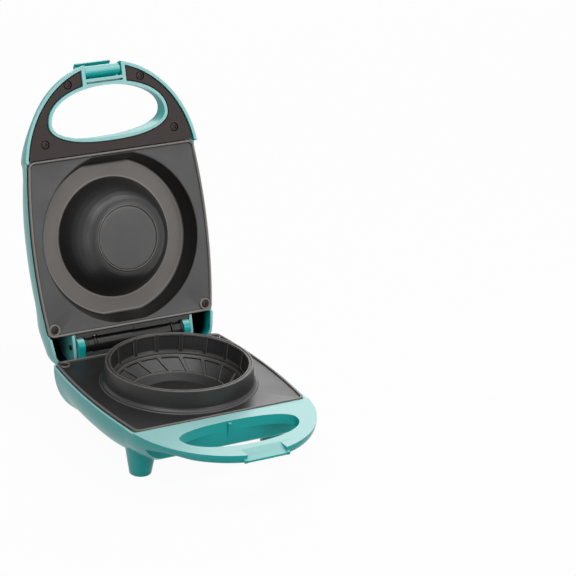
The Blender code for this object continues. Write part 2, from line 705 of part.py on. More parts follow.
def plate_screw_seat(face, direction):
    return face - direction * (SCREW_HEAD_HEIGHT + TOUCH_GAP - BEAD_HEIGHT / 2)


def lower_plate():
    plate = flange("lower_plate", LOWER_FACE, LOWER_BACK, 0.0)
    foot = COLLAR_RADIUS + COLLAR_DRAFT
    under = COLLAR_RADIUS - CASTING_WALL / 2
    flare = BAND_RADIUS + CASTING_WALL * UNDERSIDE_FLARE_SHARE
    profile = [(0.0, BOWL_UNDERSIDE),
               (BOWL_FLOOR_RADIUS + CASTING_WALL / 2, BOWL_UNDERSIDE),
               (flare, BOWL_FLOOR + CASTING_WALL * UNDERSIDE_RISE_SHARE),
               (under, LOWER_BACK),
               (foot, (LOWER_FACE + LOWER_BACK) / 2),
               (foot, LOWER_FACE + PANEL_RECESS / 2),
               (COLLAR_RADIUS, COLLAR_HEIGHT),
               (0.0, COLLAR_HEIGHT)]
    join(plate, turned("bowl", profile, FINE_STEPS))
    cut(plate, panelled_bowl("bowl_cutter"))
    screw_bosses(plate, LOWER_FACE, 0.0, LOWER_BACK)
    return plate


def dome_profile(grow, tip, root):
    """Points down the dome's side, from its root to its end disc."""
    points = []
    for down_share, in_share in DOME_SHARES:
        radius = DOME_RADIUS + (DOME_DISC_RADIUS - DOME_RADIUS) * in_share + grow
        points.append((radius, root + (tip - root) * down_share))
    return points


def upper_plate():
    plate = flange("upper_plate", UPPER_FACE, UPPER_BACK, PLATE_GAP)
    pan = [(0.0, POCKET_BACK),
           (POCKET_FLOOR_RADIUS + CASTING_WALL / 2, POCKET_BACK),
           (POCKET_RADIUS + CASTING_WALL / 2, UPPER_BACK),
           (POCKET_RADIUS + CASTING_WALL / 2, (UPPER_FACE + UPPER_BACK) / 2),
           (0.0, (UPPER_FACE + UPPER_BACK) / 2)]
    pan_solid = turned("pan", pan, FINE_STEPS)
    edge = PLATE_LENGTH / 2
    common(pan_solid, block("pan_limits", (-PLATE_MID_WIDTH, PLATE_SHIFT - edge, -LID_DEPTH),
                            (PLATE_MID_WIDTH, PLATE_SHIFT + edge, LID_DEPTH)))
    join(plate, pan_solid)
    pocket = turned("pocket", [(0.0, PLATE_GAP - OVERRUN), (POCKET_RADIUS, PLATE_GAP - OVERRUN),
                               (POCKET_RADIUS, UPPER_FACE),
                               (POCKET_FLOOR_RADIUS, POCKET_ROOF), (0.0, POCKET_ROOF)], FINE_STEPS)
    mouth = edge - BEAD_WIDTH - POCKET_EDGE
    roof = mouth - POCKET_END_SLOPE
    side = [(mouth, PLATE_GAP - OVERRUN * 2), (mouth, UPPER_FACE), (roof, POCKET_ROOF), (roof, POCKET_BACK)]
    ends = [(PLATE_SHIFT + y, z) for y, z in side] + [(PLATE_SHIFT - y, z) for y, z in reversed(side)]
    common(pocket, prism_x("pocket_ends", ends, -PLATE_MID_WIDTH, PLATE_MID_WIDTH))
    cut(plate, pocket)
    dome = dome_profile(0.0, DOME_TIP, POCKET_ROOF)
    outside = [(0.0, POCKET_BACK - CASTING_WALL / 2), (DOME_RADIUS, POCKET_BACK - CASTING_WALL / 2)]
    join(plate, turned("dome", outside + dome + [(0.0, DOME_TIP)], MEDIUM_STEPS * 2))
    hollow = dome_profile(-CASTING_WALL, DOME_TIP + CASTING_WALL, POCKET_BACK)
    top = [(0.0, POCKET_BACK + OVERRUN), (DOME_RADIUS - CASTING_WALL, POCKET_BACK + OVERRUN)]
    cut(plate, turned("dome_hollow", top + hollow + [(0.0, DOME_TIP + CASTING_WALL)], MEDIUM_STEPS))
    screw_bosses(plate, UPPER_FACE, PLATE_GAP, UPPER_BACK)
    return plate


def hollow_housing(housing, direction, depth, seam):
    """Open the body of a housing from the parting plane, leaving its walls."""
    inner = barrel_half(PLATE_FRONT - PLATE_CLEARANCE, PLATE_REAR + PLATE_CLEARANCE, PLATE_CLEARANCE,
                        PLATE_CORNER_RADIUS + PLATE_CLEARANCE)
    open_to = -direction * OVERRUN * 3
    tool = hull("hollow", inner, direction, depth, HOUSING_WALL, seam, open_to, HOLLOW_FRONT_SHARE)
    return cut(housing, tool)


def screw_posts(housing, places, radius, top, bottom, hole_end):
    for x, y in places:
        join(housing, cylinder("post", radius, top, bottom, SCREW_STEPS, (x, y, 0.0)))
    for x, y in places:
        overrun = OVERRUN if top > bottom else -OVERRUN
        hole = SCREW_RADIUS + TOUCH_GAP
        cut(housing, cylinder("post_hole", hole, top + overrun, hole_end, SCREW_STEPS, (x, y, 0.0)))


def foot_places():
    return [("front_left", -FOOT_FRONT[0], FOOT_FRONT[1]), ("front_right", FOOT_FRONT[0], FOOT_FRONT[1]),
            ("rear_left", -FOOT_REAR[0], FOOT_REAR[1]), ("rear_right", FOOT_REAR[0], FOOT_REAR[1])]


def bottom_cover_outline(grow):
    half_x = BOTTOM_COVER_WIDTH / 2 + grow
    half_y = BOTTOM_COVER_LENGTH / 2 + grow
    radius = BOTTOM_COVER_CORNER + grow
    right = (corner_points(half_x - radius, BOTTOM_COVER_Y - half_y + radius, radius, -90, 0)
             + corner_points(half_x - radius, BOTTOM_COVER_Y + half_y - radius, radius, 0, 90))
    return full(right)


def bottom_screw_places():
    x = BOTTOM_COVER_WIDTH / 2 - BOTTOM_COVER_CORNER
    y = BOTTOM_COVER_LENGTH / 2 - BOTTOM_COVER_CORNER
    return [("front_left", -x, BOTTOM_COVER_Y - y), ("front_right", x, BOTTOM_COVER_Y - y),
            ("rear_left", -x, BOTTOM_COVER_Y + y), ("rear_right", x, BOTTOM_COVER_Y + y)]


def handle_channel(name, grow, rear, low, high):
    """Space between a handle's outer wall and the wall round its finger hole."""
    space = prism_z(name, full(housing_half(BASE_REAR, -grow)), low, high)
    reach = PLATE_MID_WIDTH
    common(space, block("front_only", (-reach, HANDLE_FRONT - OVERRUN, min(low, high) - OVERRUN),
                        (reach, rear, max(low, high) + OVERRUN)))
    return space


def base_housing():
    outline = housing_half(BASE_REAR, 0.0)
    body = hull("base_housing", outline, -1, BASE_DEPTH, 0.0, HANDLE_TOP_DROP, HANDLE_TOP)
    front_wall = HOLE_REAR
    low = -BASE_DEPTH - OVERRUN
    channel = handle_channel("channel", HANDLE_WALL, front_wall, low, HANDLE_TOP - HANDLE_WALL)
    cut(channel, prism_z("hole_wall", hole_outline(HANDLE_WALL), -HANDLE_DEPTH - HANDLE_TOP_DROP, 0.0))
    cut(body, channel)
    for foot, x, y in foot_places():
        cone = [(0.0, -FOOT_ROOT_DROP), (FOOT_TOP_RADIUS, -FOOT_ROOT_DROP),
                (FOOT_BOTTOM_RADIUS, PAD_PROUD - FLOOR_DROP), (0.0, PAD_PROUD - FLOOR_DROP)]
        join(body, turned("foot", cone, SMALL_STEPS * 2, (x, y, 0.0)))
    hollow_housing(body, -1, BASE_DEPTH, PLATE_THICKNESS + BEAD_HEIGHT)
    cut(body, prism_z("hole", hole_outline(0.0), -BASE_DEPTH, OVERRUN))
    rim_low = PLATE_FRONT - PLATE_CLEARANCE
    reach = PLATE_MID_WIDTH
    cut(body, block("rim_step", (-reach, rim_low, BASE_RIM), (reach, LID_REAR, OVERRUN)))
    join(body, hinge_block())
    add_wall_rib(body)
    add_latch_notch(body)
    for foot, x, y in foot_places():
        well = PAD_THICKNESS - PAD_PROUD + TOUCH_GAP
        floor = PAD_PROUD - FLOOR_DROP
        radius = PAD_RADIUS + TOUCH_GAP
        cut(body, cylinder("well", radius, floor - OVERRUN, floor + well, PAD_STEPS, (x, y, 0.0)))
    add_bottom_opening(body)
    places = [(side * PLATE_SCREW_X, PLATE_SCREW_Y) for side in (-1, 1)]
    post_foot = -crown_depth(PLATE_SCREW_Y, BASE_DEPTH) * POST_LENGTH_SHARE
    screw_posts(body, places, SCREW_POST_RADIUS, LOWER_BACK - TOUCH_GAP, post_foot,
                LOWER_BACK - SCREW_LENGTH)
    add_terminal_seat(body)
    cut_hinge_holes(body)
    return body


def hinge_block():
    """Block behind the plate that carries the ears, the tube and the cord gland."""
    front = BASE_REAR - HOUSING_WALL / 2
    rear = BASE_REAR + HINGE_BLOCK_LENGTH
    top = -HINGE_BLOCK_DROP
    low = top - HINGE_BLOCK_DEPTH
    bevel = HINGE_BLOCK_DROP
    heel, toe = BLOCK_TAPER_SHARES
    profile = [(front, top), (rear - bevel, top), (rear, top - bevel),
               (rear, top - HINGE_BLOCK_DEPTH * BLOCK_WALL_SHARE),
               (rear - HINGE_BLOCK_LENGTH * heel, top - HINGE_BLOCK_DEPTH * BLOCK_HEEL_SHARE),
               (rear - HINGE_BLOCK_LENGTH * toe, low), (front, low)]
    made = prism_x("hinge_block", profile, -EAR_OUTER, EAR_OUTER)
    for side in (-1, 1):
        ear = [(HINGE_Y - EAR_RADIUS, top - bevel)]
        for i in range(SMALL_STEPS + 1):
            angle = math.pi - math.pi * i / SMALL_STEPS
            ear.append((HINGE_Y + EAR_RADIUS * math.cos(angle), HINGE_Z + EAR_RADIUS * math.sin(angle)))
        ear.append((HINGE_Y + EAR_RADIUS, top - bevel))
        low_x, high_x = sorted((side * EAR_INNER, side * EAR_OUTER))
        join(made, prism_x("ear", ear, low_x, high_x))
    near, far = HINGE_Y - TUBE_RADIUS / 2, HINGE_Y + TUBE_RADIUS / 2
    under_tube = HINGE_Z - TUBE_RADIUS - TOUCH_GAP
    saddle = [(near, top - bevel), (near, under_tube), (far, under_tube), (far, top - bevel)]
    for side in (-1, 1):
        low_x, high_x = sorted((side * (TUBE_HALF - HANDLE_WALL * 2), side * (TUBE_HALF - HANDLE_WALL)))
        join(made, prism_x("saddle", saddle, low_x, high_x))
    return made


def cut_hinge_holes(body):
    """Pin holes in the ears, the hollow of the block, the gland's hole and the way in for its wires."""
    for side in (-1, 1):
        low, high = sorted((side * (EAR_INNER - OVERRUN), side * (EAR_OUTER + OVERRUN)))
        cut(body, cylinder("pin_hole", PIN_HOLE, low, high, SMALL_STEPS, (0.0, HINGE_Y, HINGE_Z), "X"))
    inside = EAR_OUTER - HOUSING_WALL
    rear = BASE_REAR + HINGE_BLOCK_LENGTH - HOUSING_WALL
    front = PLATE_REAR - HOUSING_WALL
    top = -HINGE_BLOCK_DROP - HOUSING_WALL
    low = top - HINGE_BLOCK_DEPTH * BLOCK_HOLLOW_SHARE
    heel = rear - HINGE_BLOCK_LENGTH * BLOCK_TAPER_SHARES[0]
    floor = low - HOUSING_WALL
    profile = [(front, top), (rear, top), (rear, low), (heel, floor), (front, floor)]
    cut(body, prism_x("block_hollow", profile, -inside, inside))
    hole = GLAND_RADIUS + TOUCH_GAP
    centre = (GLAND_X, 0.0, -HINGE_BLOCK_DROP - GLAND_DROP)
    front = PLATE_REAR - OVERRUN
    rear = LID_REAR + HINGE_BLOCK_LENGTH
    cut(body, cylinder("gland_hole", hole, front, rear, SMALL_STEPS * 2, centre, "Y"))


def add_wall_rib(body):
    """Small tapered rib down the middle of the front wall, seen through the finger hole."""
    foot = -crown_depth(HOLE_REAR, BASE_DEPTH) * WALL_RIB_SHARE
    profile = [(HOLE_REAR + WALL_RIB_WIDTH, HANDLE_TOP - WALL_RIB_WIDTH),
               (HOLE_REAR - WALL_RIB_REACH, HANDLE_TOP - WALL_RIB_WIDTH),
               (HOLE_REAR, foot), (HOLE_REAR + WALL_RIB_WIDTH, foot)]
    join(body, prism_x("wall_rib", profile, -WALL_RIB_WIDTH / 2, WALL_RIB_WIDTH / 2))


def add_latch_notch(body):
    """Ramp in the handle's front edge, whose thin lip the latch hooks under."""
    half = NOTCH_WIDTH / 2
    rear = NOTCH_REAR + NOTCH_LIP
    front = NOTCH_FRONT - TOUCH_GAP
    ramp = [(rear, HANDLE_TOP - NOTCH_LIP / 2), (rear, HANDLE_TOP - NOTCH_LIP * 2),
            (front, LIP_UNDERSIDE), (front, NOTCH_FLOOR + NOTCH_LIP / 2)]
    join(body, prism_x("ramp", ramp, -half - HANDLE_WALL, half + HANDLE_WALL))
    above = [(NOTCH_REAR, HANDLE_TOP), (NOTCH_FRONT, NOTCH_FLOOR), (HANDLE_FRONT - OVERRUN, NOTCH_FLOOR),
             (HANDLE_FRONT - OVERRUN, OVERRUN), (NOTCH_REAR, OVERRUN)]
    cut(body, prism_x("notch", above, -half, half))
    under = (half, NOTCH_FRONT + LATCH_HOOK_REACH * 2, LIP_UNDERSIDE)
    cut(body, block("hook_space", (-half, HANDLE_FRONT - OVERRUN, -BASE_DEPTH), under))
    cut(body, block("lip_edge", (-half, HANDLE_FRONT - OVERRUN, -BASE_DEPTH), (half, NOTCH_FRONT, OVERRUN)))


def add_bottom_opening(body):
    """Opening in the underside, and the ledge that its cover screws to."""
    floor = -BASE_DEPTH
    inner = floor + BOTTOM_COVER_THICKNESS + TOUCH_GAP
    ledge_top = inner + BOTTOM_LEDGE_THICKNESS
    join(body, prism_z("ledge", bottom_cover_outline(HOUSING_WALL), inner - TOUCH_GAP, ledge_top))
    cut(body, prism_z("seat", bottom_cover_outline(COVER_FIT), floor - OVERRUN, inner))
    opening = bottom_cover_outline(-BOTTOM_COVER_LEDGE)
    cut(body, prism_z("opening", opening, floor - OVERRUN, ledge_top + OVERRUN))
    for name, x, y in bottom_screw_places():
        post_top = ledge_top + SCREW_LENGTH * BOTTOM_POST_SHARE
        join(body, cylinder("post", SCREW_POST_RADIUS, inner, post_top, SCREW_STEPS, (x, y, 0.0)))
        hole = SCREW_RADIUS + TOUCH_GAP
        end = bottom_screw_seat() + SCREW_LENGTH + TOUCH_GAP
        cut(body, cylinder("post_hole", hole, floor - OVERRUN, end, SCREW_STEPS, (x, y, 0.0)))


def terminal_y():
    return PLATE_REAR - TERMINAL_WALL_GAP - TERMINAL_WIDTH / 2


def terminal_seat_z():
    return -crown_depth(terminal_y(), BASE_DEPTH) + HOUSING_WALL * TERMINAL_SEAT_SHARE


def add_terminal_seat(body):
    half_x = TERMINAL_LENGTH / 2
    half_y = TERMINAL_WIDTH / 2
    join(body, block("terminal_seat", (-half_x, terminal_y() - half_y, terminal_seat_z() - HOUSING_WALL),
                     (half_x, terminal_y() + half_y, terminal_seat_z())))


def lid_housing():
    body = hull("lid_housing", housing_half(LID_REAR, 0.0), 1, LID_DEPTH, 0.0, HANDLE_TOP_DROP, LID_RIM)
    slot = LID_DEPTH + OVERRUN
    reach = PLATE_MID_WIDTH
    hollow_housing(body, 1, LID_DEPTH, UPPER_BACK)
    add_arm_hollows(body)
    rear = LID_REAR + OVERRUN
    front = HANDLE_FRONT - OVERRUN
    low = -OVERRUN * 2
    cut(body, block("hinge_slot", (-ARM_INNER, LID_BACK, low), (ARM_INNER, rear, slot)))
    slope = [(PLATE_REAR, low), (PLATE_REAR, ARM_LIFT), (HINGE_Y + PIN_HOLE, ARM_LIFT), (rear, ARM_END_LIFT),
             (rear, low)]
    cut(body, prism_x("arm_lift", slope, -reach, reach))
    seam = wire_cover_seam()
    cut(body, block("cover_seam", (-ARM_INNER, PLATE_REAR, low), (ARM_INNER, LID_BACK + OVERRUN, seam)))
    cut(body, block("edge_step", (-reach, front, low), (reach, PLATE_FRONT, LID_HANDLE_EDGE)))
    add_handle_channel(body)
    cut(body, prism_z("hole", hole_outline(0.0), -OVERRUN * 2, LID_DEPTH + OVERRUN))
    add_latch_bay(body)
    places = [(side * PLATE_SCREW_X, PLATE_SCREW_Y) for side in (-1, 1)]
    post_end = crown_depth(PLATE_SCREW_Y, LID_DEPTH) * POST_LENGTH_SHARE
    screw_posts(body, places, SCREW_POST_RADIUS, UPPER_BACK + TOUCH_GAP, post_end, UPPER_BACK + SCREW_LENGTH)
    for side in (-1, 1):
        low, high = sorted((side * (ARM_INNER - OVERRUN), side * (ARM_INNER + ARM_WALL + OVERRUN)))
        cut(body, cylinder("pin_hole", PIN_HOLE, low, high, SMALL_STEPS, (0.0, HINGE_Y, HINGE_Z), "X"))
    add_lamp_holes(body)
    return body


def add_arm_hollows(body):
    """Open the two rear arms from the parting side, outside their inner walls."""
    half = barrel_half(PLATE_FRONT / 2, LID_REAR - ARM_WALL, PLATE_CLEARANCE, HULL_CORNER_RADIUS)
    space = hull("arm_space", half, 1, LID_DEPTH, HOUSING_WALL, UPPER_BACK, -OVERRUN * 3)
    inner = ARM_INNER + ARM_WALL
    reach = PLATE_MID_WIDTH
    top = LID_DEPTH + OVERRUN
    cut(space, block("between_arms", (-inner, PLATE_FRONT, -LID_DEPTH), (inner, LID_REAR, top)))
    cut(space, block("plate_side", (-reach, PLATE_FRONT, -LID_DEPTH), (reach, PLATE_REAR / 2, top)))
    cut(body, space)


def cover_back():
    return LID_HANDLE_EDGE + COVER_RECESS + COVER_THICKNESS


def cover_screw_places():
    front = HANDLE_FRONT + COVER_FRONT_SCREW_Y
    rear = PLATE_FRONT - COVER_REAR_SCREW_Y
    return [("front_left", -COVER_FRONT_SCREW_X, front), ("front_right", COVER_FRONT_SCREW_X, front),
            ("rear_left", -COVER_REAR_SCREW_X, rear), ("rear_right", COVER_REAR_SCREW_X, rear)]


def add_handle_channel(body):
    """U-shaped space in the lid handle that the black cover closes."""
    roof = LID_HANDLE_EDGE + HANDLE_DEPTH - HANDLE_WALL
    recess_rear = PLATE_FRONT - PLATE_CLEARANCE + OVERRUN
    seat_top = cover_back() + TOUCH_GAP
    seat = handle_channel("cover_seat", HANDLE_EDGE_WIDTH, recess_rear, -OVERRUN * 2, seat_top)
    cut(seat, prism_z("ring", hole_outline(HANDLE_EDGE_WIDTH), -OVERRUN * 3, LID_DEPTH))
    cut(seat, latch_surround("surround", 0.0))
    cut(body, seat)
    deep_rear = PLATE_FRONT - PLATE_CLEARANCE - HOUSING_WALL
    inset = HANDLE_EDGE_WIDTH + COVER_LEDGE
    deep = handle_channel("channel", inset, deep_rear, -OVERRUN * 2, roof)
    cut(deep, prism_z("ring", hole_outline(inset), -OVERRUN * 3, LID_DEPTH))
    cut(deep, latch_surround("surround", COVER_LEDGE))
    cut(body, deep)
    places = [(x, y) for name, x, y in cover_screw_places()]
    hole_end = cover_screw_seat() + COVER_SCREW_LENGTH + TOUCH_GAP
    screw_posts(body, places, SCREW_POST_RADIUS, cover_back() + TOUCH_GAP, roof + HANDLE_WALL / 2, hole_end)


def latch_surround(name, grow):
    """Solid zone kept round the latch bay: its posts and the bar behind it."""
    half = LATCH_POST_OUTER + grow
    front = HANDLE_FRONT - OVERRUN * 2
    return block(name, (-half, front, -OVERRUN * 3), (half, HOLE_FRONT + OVERRUN, LID_DEPTH))


def add_latch_bay(body):
    """Bay for the latch barrel, the slot behind its bar and the holes of its pin."""
    half = LATCH_BAY_HALF
    bar_rear = LATCH_BAY_REAR + LATCH_BAR_WIDTH
    front = HANDLE_FRONT - OVERRUN
    bar_top = LATCH_SLOT_DEPTH + LID_HANDLE_EDGE
    cut(body, block("bay", (-half, front, -OVERRUN * 2), (half, LATCH_BAY_REAR, LID_DEPTH)))
    cut(body, block("bay_top", (-half, front, bar_top), (half, HOLE_FRONT + OVERRUN, LID_DEPTH)))
    slot_rear = bar_rear + LATCH_SLOT_WIDTH
    cut(body, block("slot", (-half, bar_rear, -OVERRUN * 2), (half, slot_rear, bar_top - HANDLE_WALL)))
    bore = LATCH_PIN_RADIUS + PIN_CLEARANCE
    end = LATCH_POST_OUTER + OVERRUN
    cut(body, cylinder("pin_hole", bore, -end, end, SMALL_STEPS, (0.0, LATCH_Y, LATCH_Z), "X"))


def add_lamp_holes(body):
    """Holes for the two lamps, and the posts that carry their board."""
    roof = crown_depth(LAMP_Y, LID_DEPTH)
    for side in (-1, 1):
        place = (side * LAMP_SPACING / 2, LAMP_Y, 0.0)
        cut(body, cylinder("lamp_hole", LAMP_RADIUS + TOUCH_GAP, roof - HOUSING_WALL * 2, roof + OVERRUN,
                           SMALL_STEPS, place))
        x = side * (BOARD_LENGTH / 2 - BOARD_POST_WIDTH / 2)
        half = BOARD_POST_WIDTH / 2
        join(body, block("board_post", (x - half, LAMP_Y - half, roof - BOARD_DROP + TOUCH_GAP),
                         (x + half, LAMP_Y + half, roof - HOUSING_WALL / 2)))


def handle_cover():
    """Black C-shaped cover over the lid handle, with wells for its four screws."""
    low = LID_HANDLE_EDGE + COVER_RECESS
    grow = HANDLE_EDGE_WIDTH + COVER_FIT
    rear = PLATE_FRONT - PLATE_CLEARANCE * 2
    cover = handle_channel("handle_cover", grow, rear, low, low + COVER_THICKNESS)
    cut(cover, prism_z("ring", hole_outline(grow), -OVERRUN, LID_DEPTH))
    cut(cover, latch_surround("surround", COVER_FIT))
    for name, x, y in cover_screw_places():
        well = SCREW_HEAD_RADIUS + TOUCH_GAP * 2
        cut(cover, cylinder("well", well, low - OVERRUN, cover_screw_seat(), SCREW_STEPS, (x, y, 0.0)))
        bore = SCREW_RADIUS + TOUCH_GAP
        cut(cover, cylinder("bore", bore, low - OVERRUN, LID_DEPTH, SCREW_STEPS, (x, y, 0.0)))
    return cover


def cover_screw_seat():
    return cover_back() - COVER_SCREW_WEB


def round_bar(name, points, radius, sides):
    """Bar of round section through a list of points, with square ends."""
    path = [Vector(point) for point in points]
    across = (path[1] - path[0]).orthogonal().normalized()
    rings = []
    for i, point in enumerate(path):
        along = (path[min(i + 1, len(path) - 1)] - path[max(i - 1, 0)]).normalized()
        across = (across - along * across.dot(along)).normalized()
        other = along.cross(across)
        ring = []
        for step in range(sides):
            angle = 2 * math.pi * step / sides
            ring.append(point + (across * math.cos(angle) + other * math.sin(angle)) * radius)
        rings.append(ring)
    return skin(name, rings)


def heater(name, radius, height, direction):
    """Tubular heating element: an open ring whose ends turn away from the plate."""
    gap = HEATER_GAP_ANGLE / 2
    steps = HEATER_STEPS
    points = []
    for i in range(steps + 1):
        angle = math.pi / 2 + gap + (2 * math.pi - 2 * gap) * i / steps
        points.append(Vector((radius * math.cos(angle), radius * math.sin(angle), height)))
    away = Vector((0.0, 0.0, direction * HEATER_TERMINAL))
    bend = HEATER_TUBE_RADIUS
    first = points[0] + (points[0] - points[1]).normalized() * bend
    last = points[-1] + (points[-1] - points[-2]).normalized() * bend
    points = [first + away, first + away / 3] + points + [last + away / 3, last + away]
    return round_bar(name, points, HEATER_TUBE_RADIUS, HEATER_SIDES)


def lower_reflector():
    """Sheet dish under the heater and the bowl, with a hole for the thermostat."""
    rim = LOWER_HEATER_RADIUS + HEATER_TUBE_RADIUS + REFLECTOR_MARGIN
    deep = LOWER_HEATER_Z - HEATER_TUBE_RADIUS - TOUCH_GAP * 2
    well = BOWL_UNDERSIDE - CASTING_WALL
    t = REFLECTOR_THICKNESS
    slope_top = LOWER_HEATER_RADIUS - HEATER_TUBE_RADIUS - REFLECTOR_MARGIN
    slope_low = BAND_RADIUS + CASTING_WALL
    inside = [(rim, LOWER_BACK - TOUCH_GAP), (rim, deep), (slope_top, deep), (slope_low, well), (0.0, well)]
    outside = [(0.0, well - t), (slope_low + t, well - t), (slope_top + t / 2, deep - t), (rim + t, deep - t),
               (rim + t, LOWER_BACK - TOUCH_GAP)]
    return turned("lower_reflector", inside[::-1] + outside[::-1], MEDIUM_STEPS)


def upper_reflector():
    """Sheet lid over the upper heater, standing on the back of the plate."""
    rim = UPPER_HEATER_RADIUS + HEATER_TUBE_RADIUS + REFLECTOR_MARGIN
    roof = UPPER_HEATER_Z + HEATER_TUBE_RADIUS + TOUCH_GAP * 2
    t = REFLECTOR_THICKNESS
    foot = POCKET_BACK + TOUCH_GAP
    profile = [(0.0, roof + t), (rim + t, roof + t), (rim + t, foot), (rim, foot), (rim, roof), (0.0, roof)]
    return turned("upper_reflector", profile, MEDIUM_STEPS)


def latch_clip():
    """Latch drawn hooked under the base handle: barrel, arm and hook in one section."""
    y, z = LATCH_Y, LATCH_Z
    inner = NOTCH_FRONT - LATCH_ARM_GAP
    outer = inner - LATCH_ARM_THICKNESS
    hook_top = LIP_UNDERSIDE - LATCH_HOOK_GAP
    hook_low = hook_top - LATCH_HOOK_THICKNESS
    neck_top = z + LATCH_NECK_RISE
    neck_low = z - LATCH_BARREL_RADIUS * LATCH_NECK_SHARE
    start = math.asin(LATCH_NECK_RISE / LATCH_BARREL_RADIUS)
    profile = []
    steps = SMALL_STEPS + 4
    for i in range(steps + 1):
        angle = math.pi - start - (math.pi * 3 / 2 - start) * i / steps * LATCH_TURN_SHARE
        profile.append((y + LATCH_BARREL_RADIUS * math.cos(angle), z + LATCH_BARREL_RADIUS * math.sin(angle)))
    profile += [(inner, neck_low), (inner, hook_top), (inner + LATCH_HOOK_REACH, hook_top),
                (inner + LATCH_HOOK_REACH - LATCH_HOOK_THICKNESS / 2, hook_low), (outer, hook_low),
                (outer, neck_top)]
    clip = prism_x("latch_clip", profile, -LATCH_WIDTH / 2, LATCH_WIDTH / 2)
    bore = LATCH_PIN_RADIUS + PIN_CLEARANCE
    end = LATCH_WIDTH / 2 + OVERRUN
    cut(clip, cylinder("bore", bore, -end, end, SMALL_STEPS, (0.0, y, z), "X"))
    return clip


def knuckle(name, side):
    """Black ring on the hinge pin, with the plate that holds it to the lid's back wall."""
    low, high = sorted((side * KNUCKLE_INNER, side * KNUCKLE_OUTER))
    made = cylinder(name, KNUCKLE_RADIUS, low, high, MEDIUM_STEPS - 8, (0.0, HINGE_Y, HINGE_Z), "X")
    wall = LID_BACK + TOUCH_GAP
    rear = HINGE_Y - KNUCKLE_RADIUS / 2
    foot = HINGE_Z - KNUCKLE_RADIUS / 4
    face = wall + KNUCKLE_PLATE_THICKNESS
    top = HINGE_Z + KNUCKLE_PLATE_HEIGHT
    plate = [(wall, foot), (rear, foot), (rear, HINGE_Z + KNUCKLE_RADIUS / 2),
             (face, HINGE_Z + KNUCKLE_RADIUS), (face, top), (wall, top)]
    join(made, prism_x("knuckle_plate", plate, low, high))
    over_low, over_high = low - OVERRUN, high + OVERRUN
    cut(made, cylinder("bore", PIN_HOLE, over_low, over_high, SMALL_STEPS, (0.0, HINGE_Y, HINGE_Z), "X"))
    return made


def hinge_tube():
    """Black sleeve between the knuckles that guides the wires to the lid."""
    length = TUBE_HALF
    end = TUBE_HALF - TUBE_END_BORE_LENGTH
    profile = [(PIN_HOLE, -length), (TUBE_RADIUS, -length), (TUBE_RADIUS, length), (PIN_HOLE, length),
               (PIN_HOLE, end), (TUBE_BORE_RADIUS, end), (TUBE_BORE_RADIUS, -end), (PIN_HOLE, -end),
               (PIN_HOLE, -length)]
    return turned("hinge_tube", profile, MEDIUM_STEPS - 8, (0.0, HINGE_Y, HINGE_Z), "X")


def hinge_pin(name, side):
    inner = TUBE_HALF - TUBE_END_BORE_LENGTH + TOUCH_GAP
    outer = ARM_INNER + ARM_WALL + OVERRUN / 2
    low, high = sorted((side * inner, side * outer))
    return cylinder(name, HINGE_PIN_RADIUS, low, high, SMALL_STEPS, (0.0, HINGE_Y, HINGE_Z), "X")


def wire_cover_seam():
    """Height where the lid's back wall ends, on top of the cover's edge strip."""
    return LID_RIM + HOUSING_WALL / 2 + WIRE_COVER_EDGE


def wire_cover():
    """Black cover of the lid's back wall: a strip on its edge, a sheet before the tube and a raised bar."""
    wall = LID_BACK + TOUCH_GAP
    rear = wall + WIRE_COVER_SHEET
    top = wire_cover_seam() - TOUCH_GAP
    edge = top - WIRE_COVER_EDGE
    front = PLATE_REAR + PLATE_CLEARANCE + TOUCH_GAP
    high = HINGE_Z + TUBE_RADIUS
    inner = TUBE_HALF - TOUCH_GAP
    section = [(front, edge), (rear, edge), (rear, high), (wall, high), (wall, top), (front, top)]
    cover = prism_x("wire_cover", section, -inner, inner)
    half = ARM_INNER - TOUCH_GAP
    inset = TOUCH_GAP / 2
    join(cover, block("strip", (-half, front + inset, edge + inset), (half, LID_BACK, top - inset)))
    length, width, proud = WIRE_COVER_BAR
    rear += inset
    return join(cover, block("bar", (0.0, rear - width, edge - proud), (length, rear, top - inset)))


def cord_gland():
    """Bush in the block's rear wall, where a lead would come out."""
    face = BASE_REAR + HINGE_BLOCK_LENGTH + TOUCH_GAP
    outer = face + GLAND_FLANGE_THICKNESS
    inner = outer - GLAND_LENGTH
    profile = [(GLAND_BORE_RADIUS, inner), (GLAND_RADIUS, inner), (GLAND_RADIUS, face),
               (GLAND_FLANGE_RADIUS, face), (GLAND_FLANGE_RADIUS - TOUCH_GAP, outer),
               (GLAND_BORE_RADIUS, outer), (GLAND_BORE_RADIUS, inner)]
    return turned("cord_gland", profile, SMALL_STEPS * 2, (GLAND_X, 0.0, -HINGE_BLOCK_DROP - GLAND_DROP), "Y")


def bottom_cover():
    floor = -BASE_DEPTH
    cover = prism_z("bottom_cover", bottom_cover_outline(0.0), floor, floor + BOTTOM_COVER_THICKNESS)
    for name, x, y in bottom_screw_places():
        well = SCREW_HEAD_RADIUS + TOUCH_GAP
        cut(cover, cylinder("well", well, floor - OVERRUN, bottom_screw_seat(), SCREW_STEPS, (x, y, 0.0)))
        cut(cover, cylinder("bore", SCREW_RADIUS + TOUCH_GAP, floor - OVERRUN, 0.0, SCREW_STEPS, (x, y, 0.0)))
    return cover


def bottom_screw_seat():
    return -BASE_DEPTH + BOTTOM_COVER_THICKNESS / 2


def thermostat():
    top = BOWL_UNDERSIDE - TOUCH_GAP
    cap = THERMOSTAT_RADIUS * THERMOSTAT_CAP_SHARE
    step = top - THERMOSTAT_HEIGHT / 3
    low = top - THERMOSTAT_HEIGHT
    profile = [(0.0, top), (cap, top), (cap, step), (THERMOSTAT_RADIUS, step), (THERMOSTAT_RADIUS, low),
               (0.0, low)]
    return turned("thermostat", profile, SMALL_STEPS * 2)


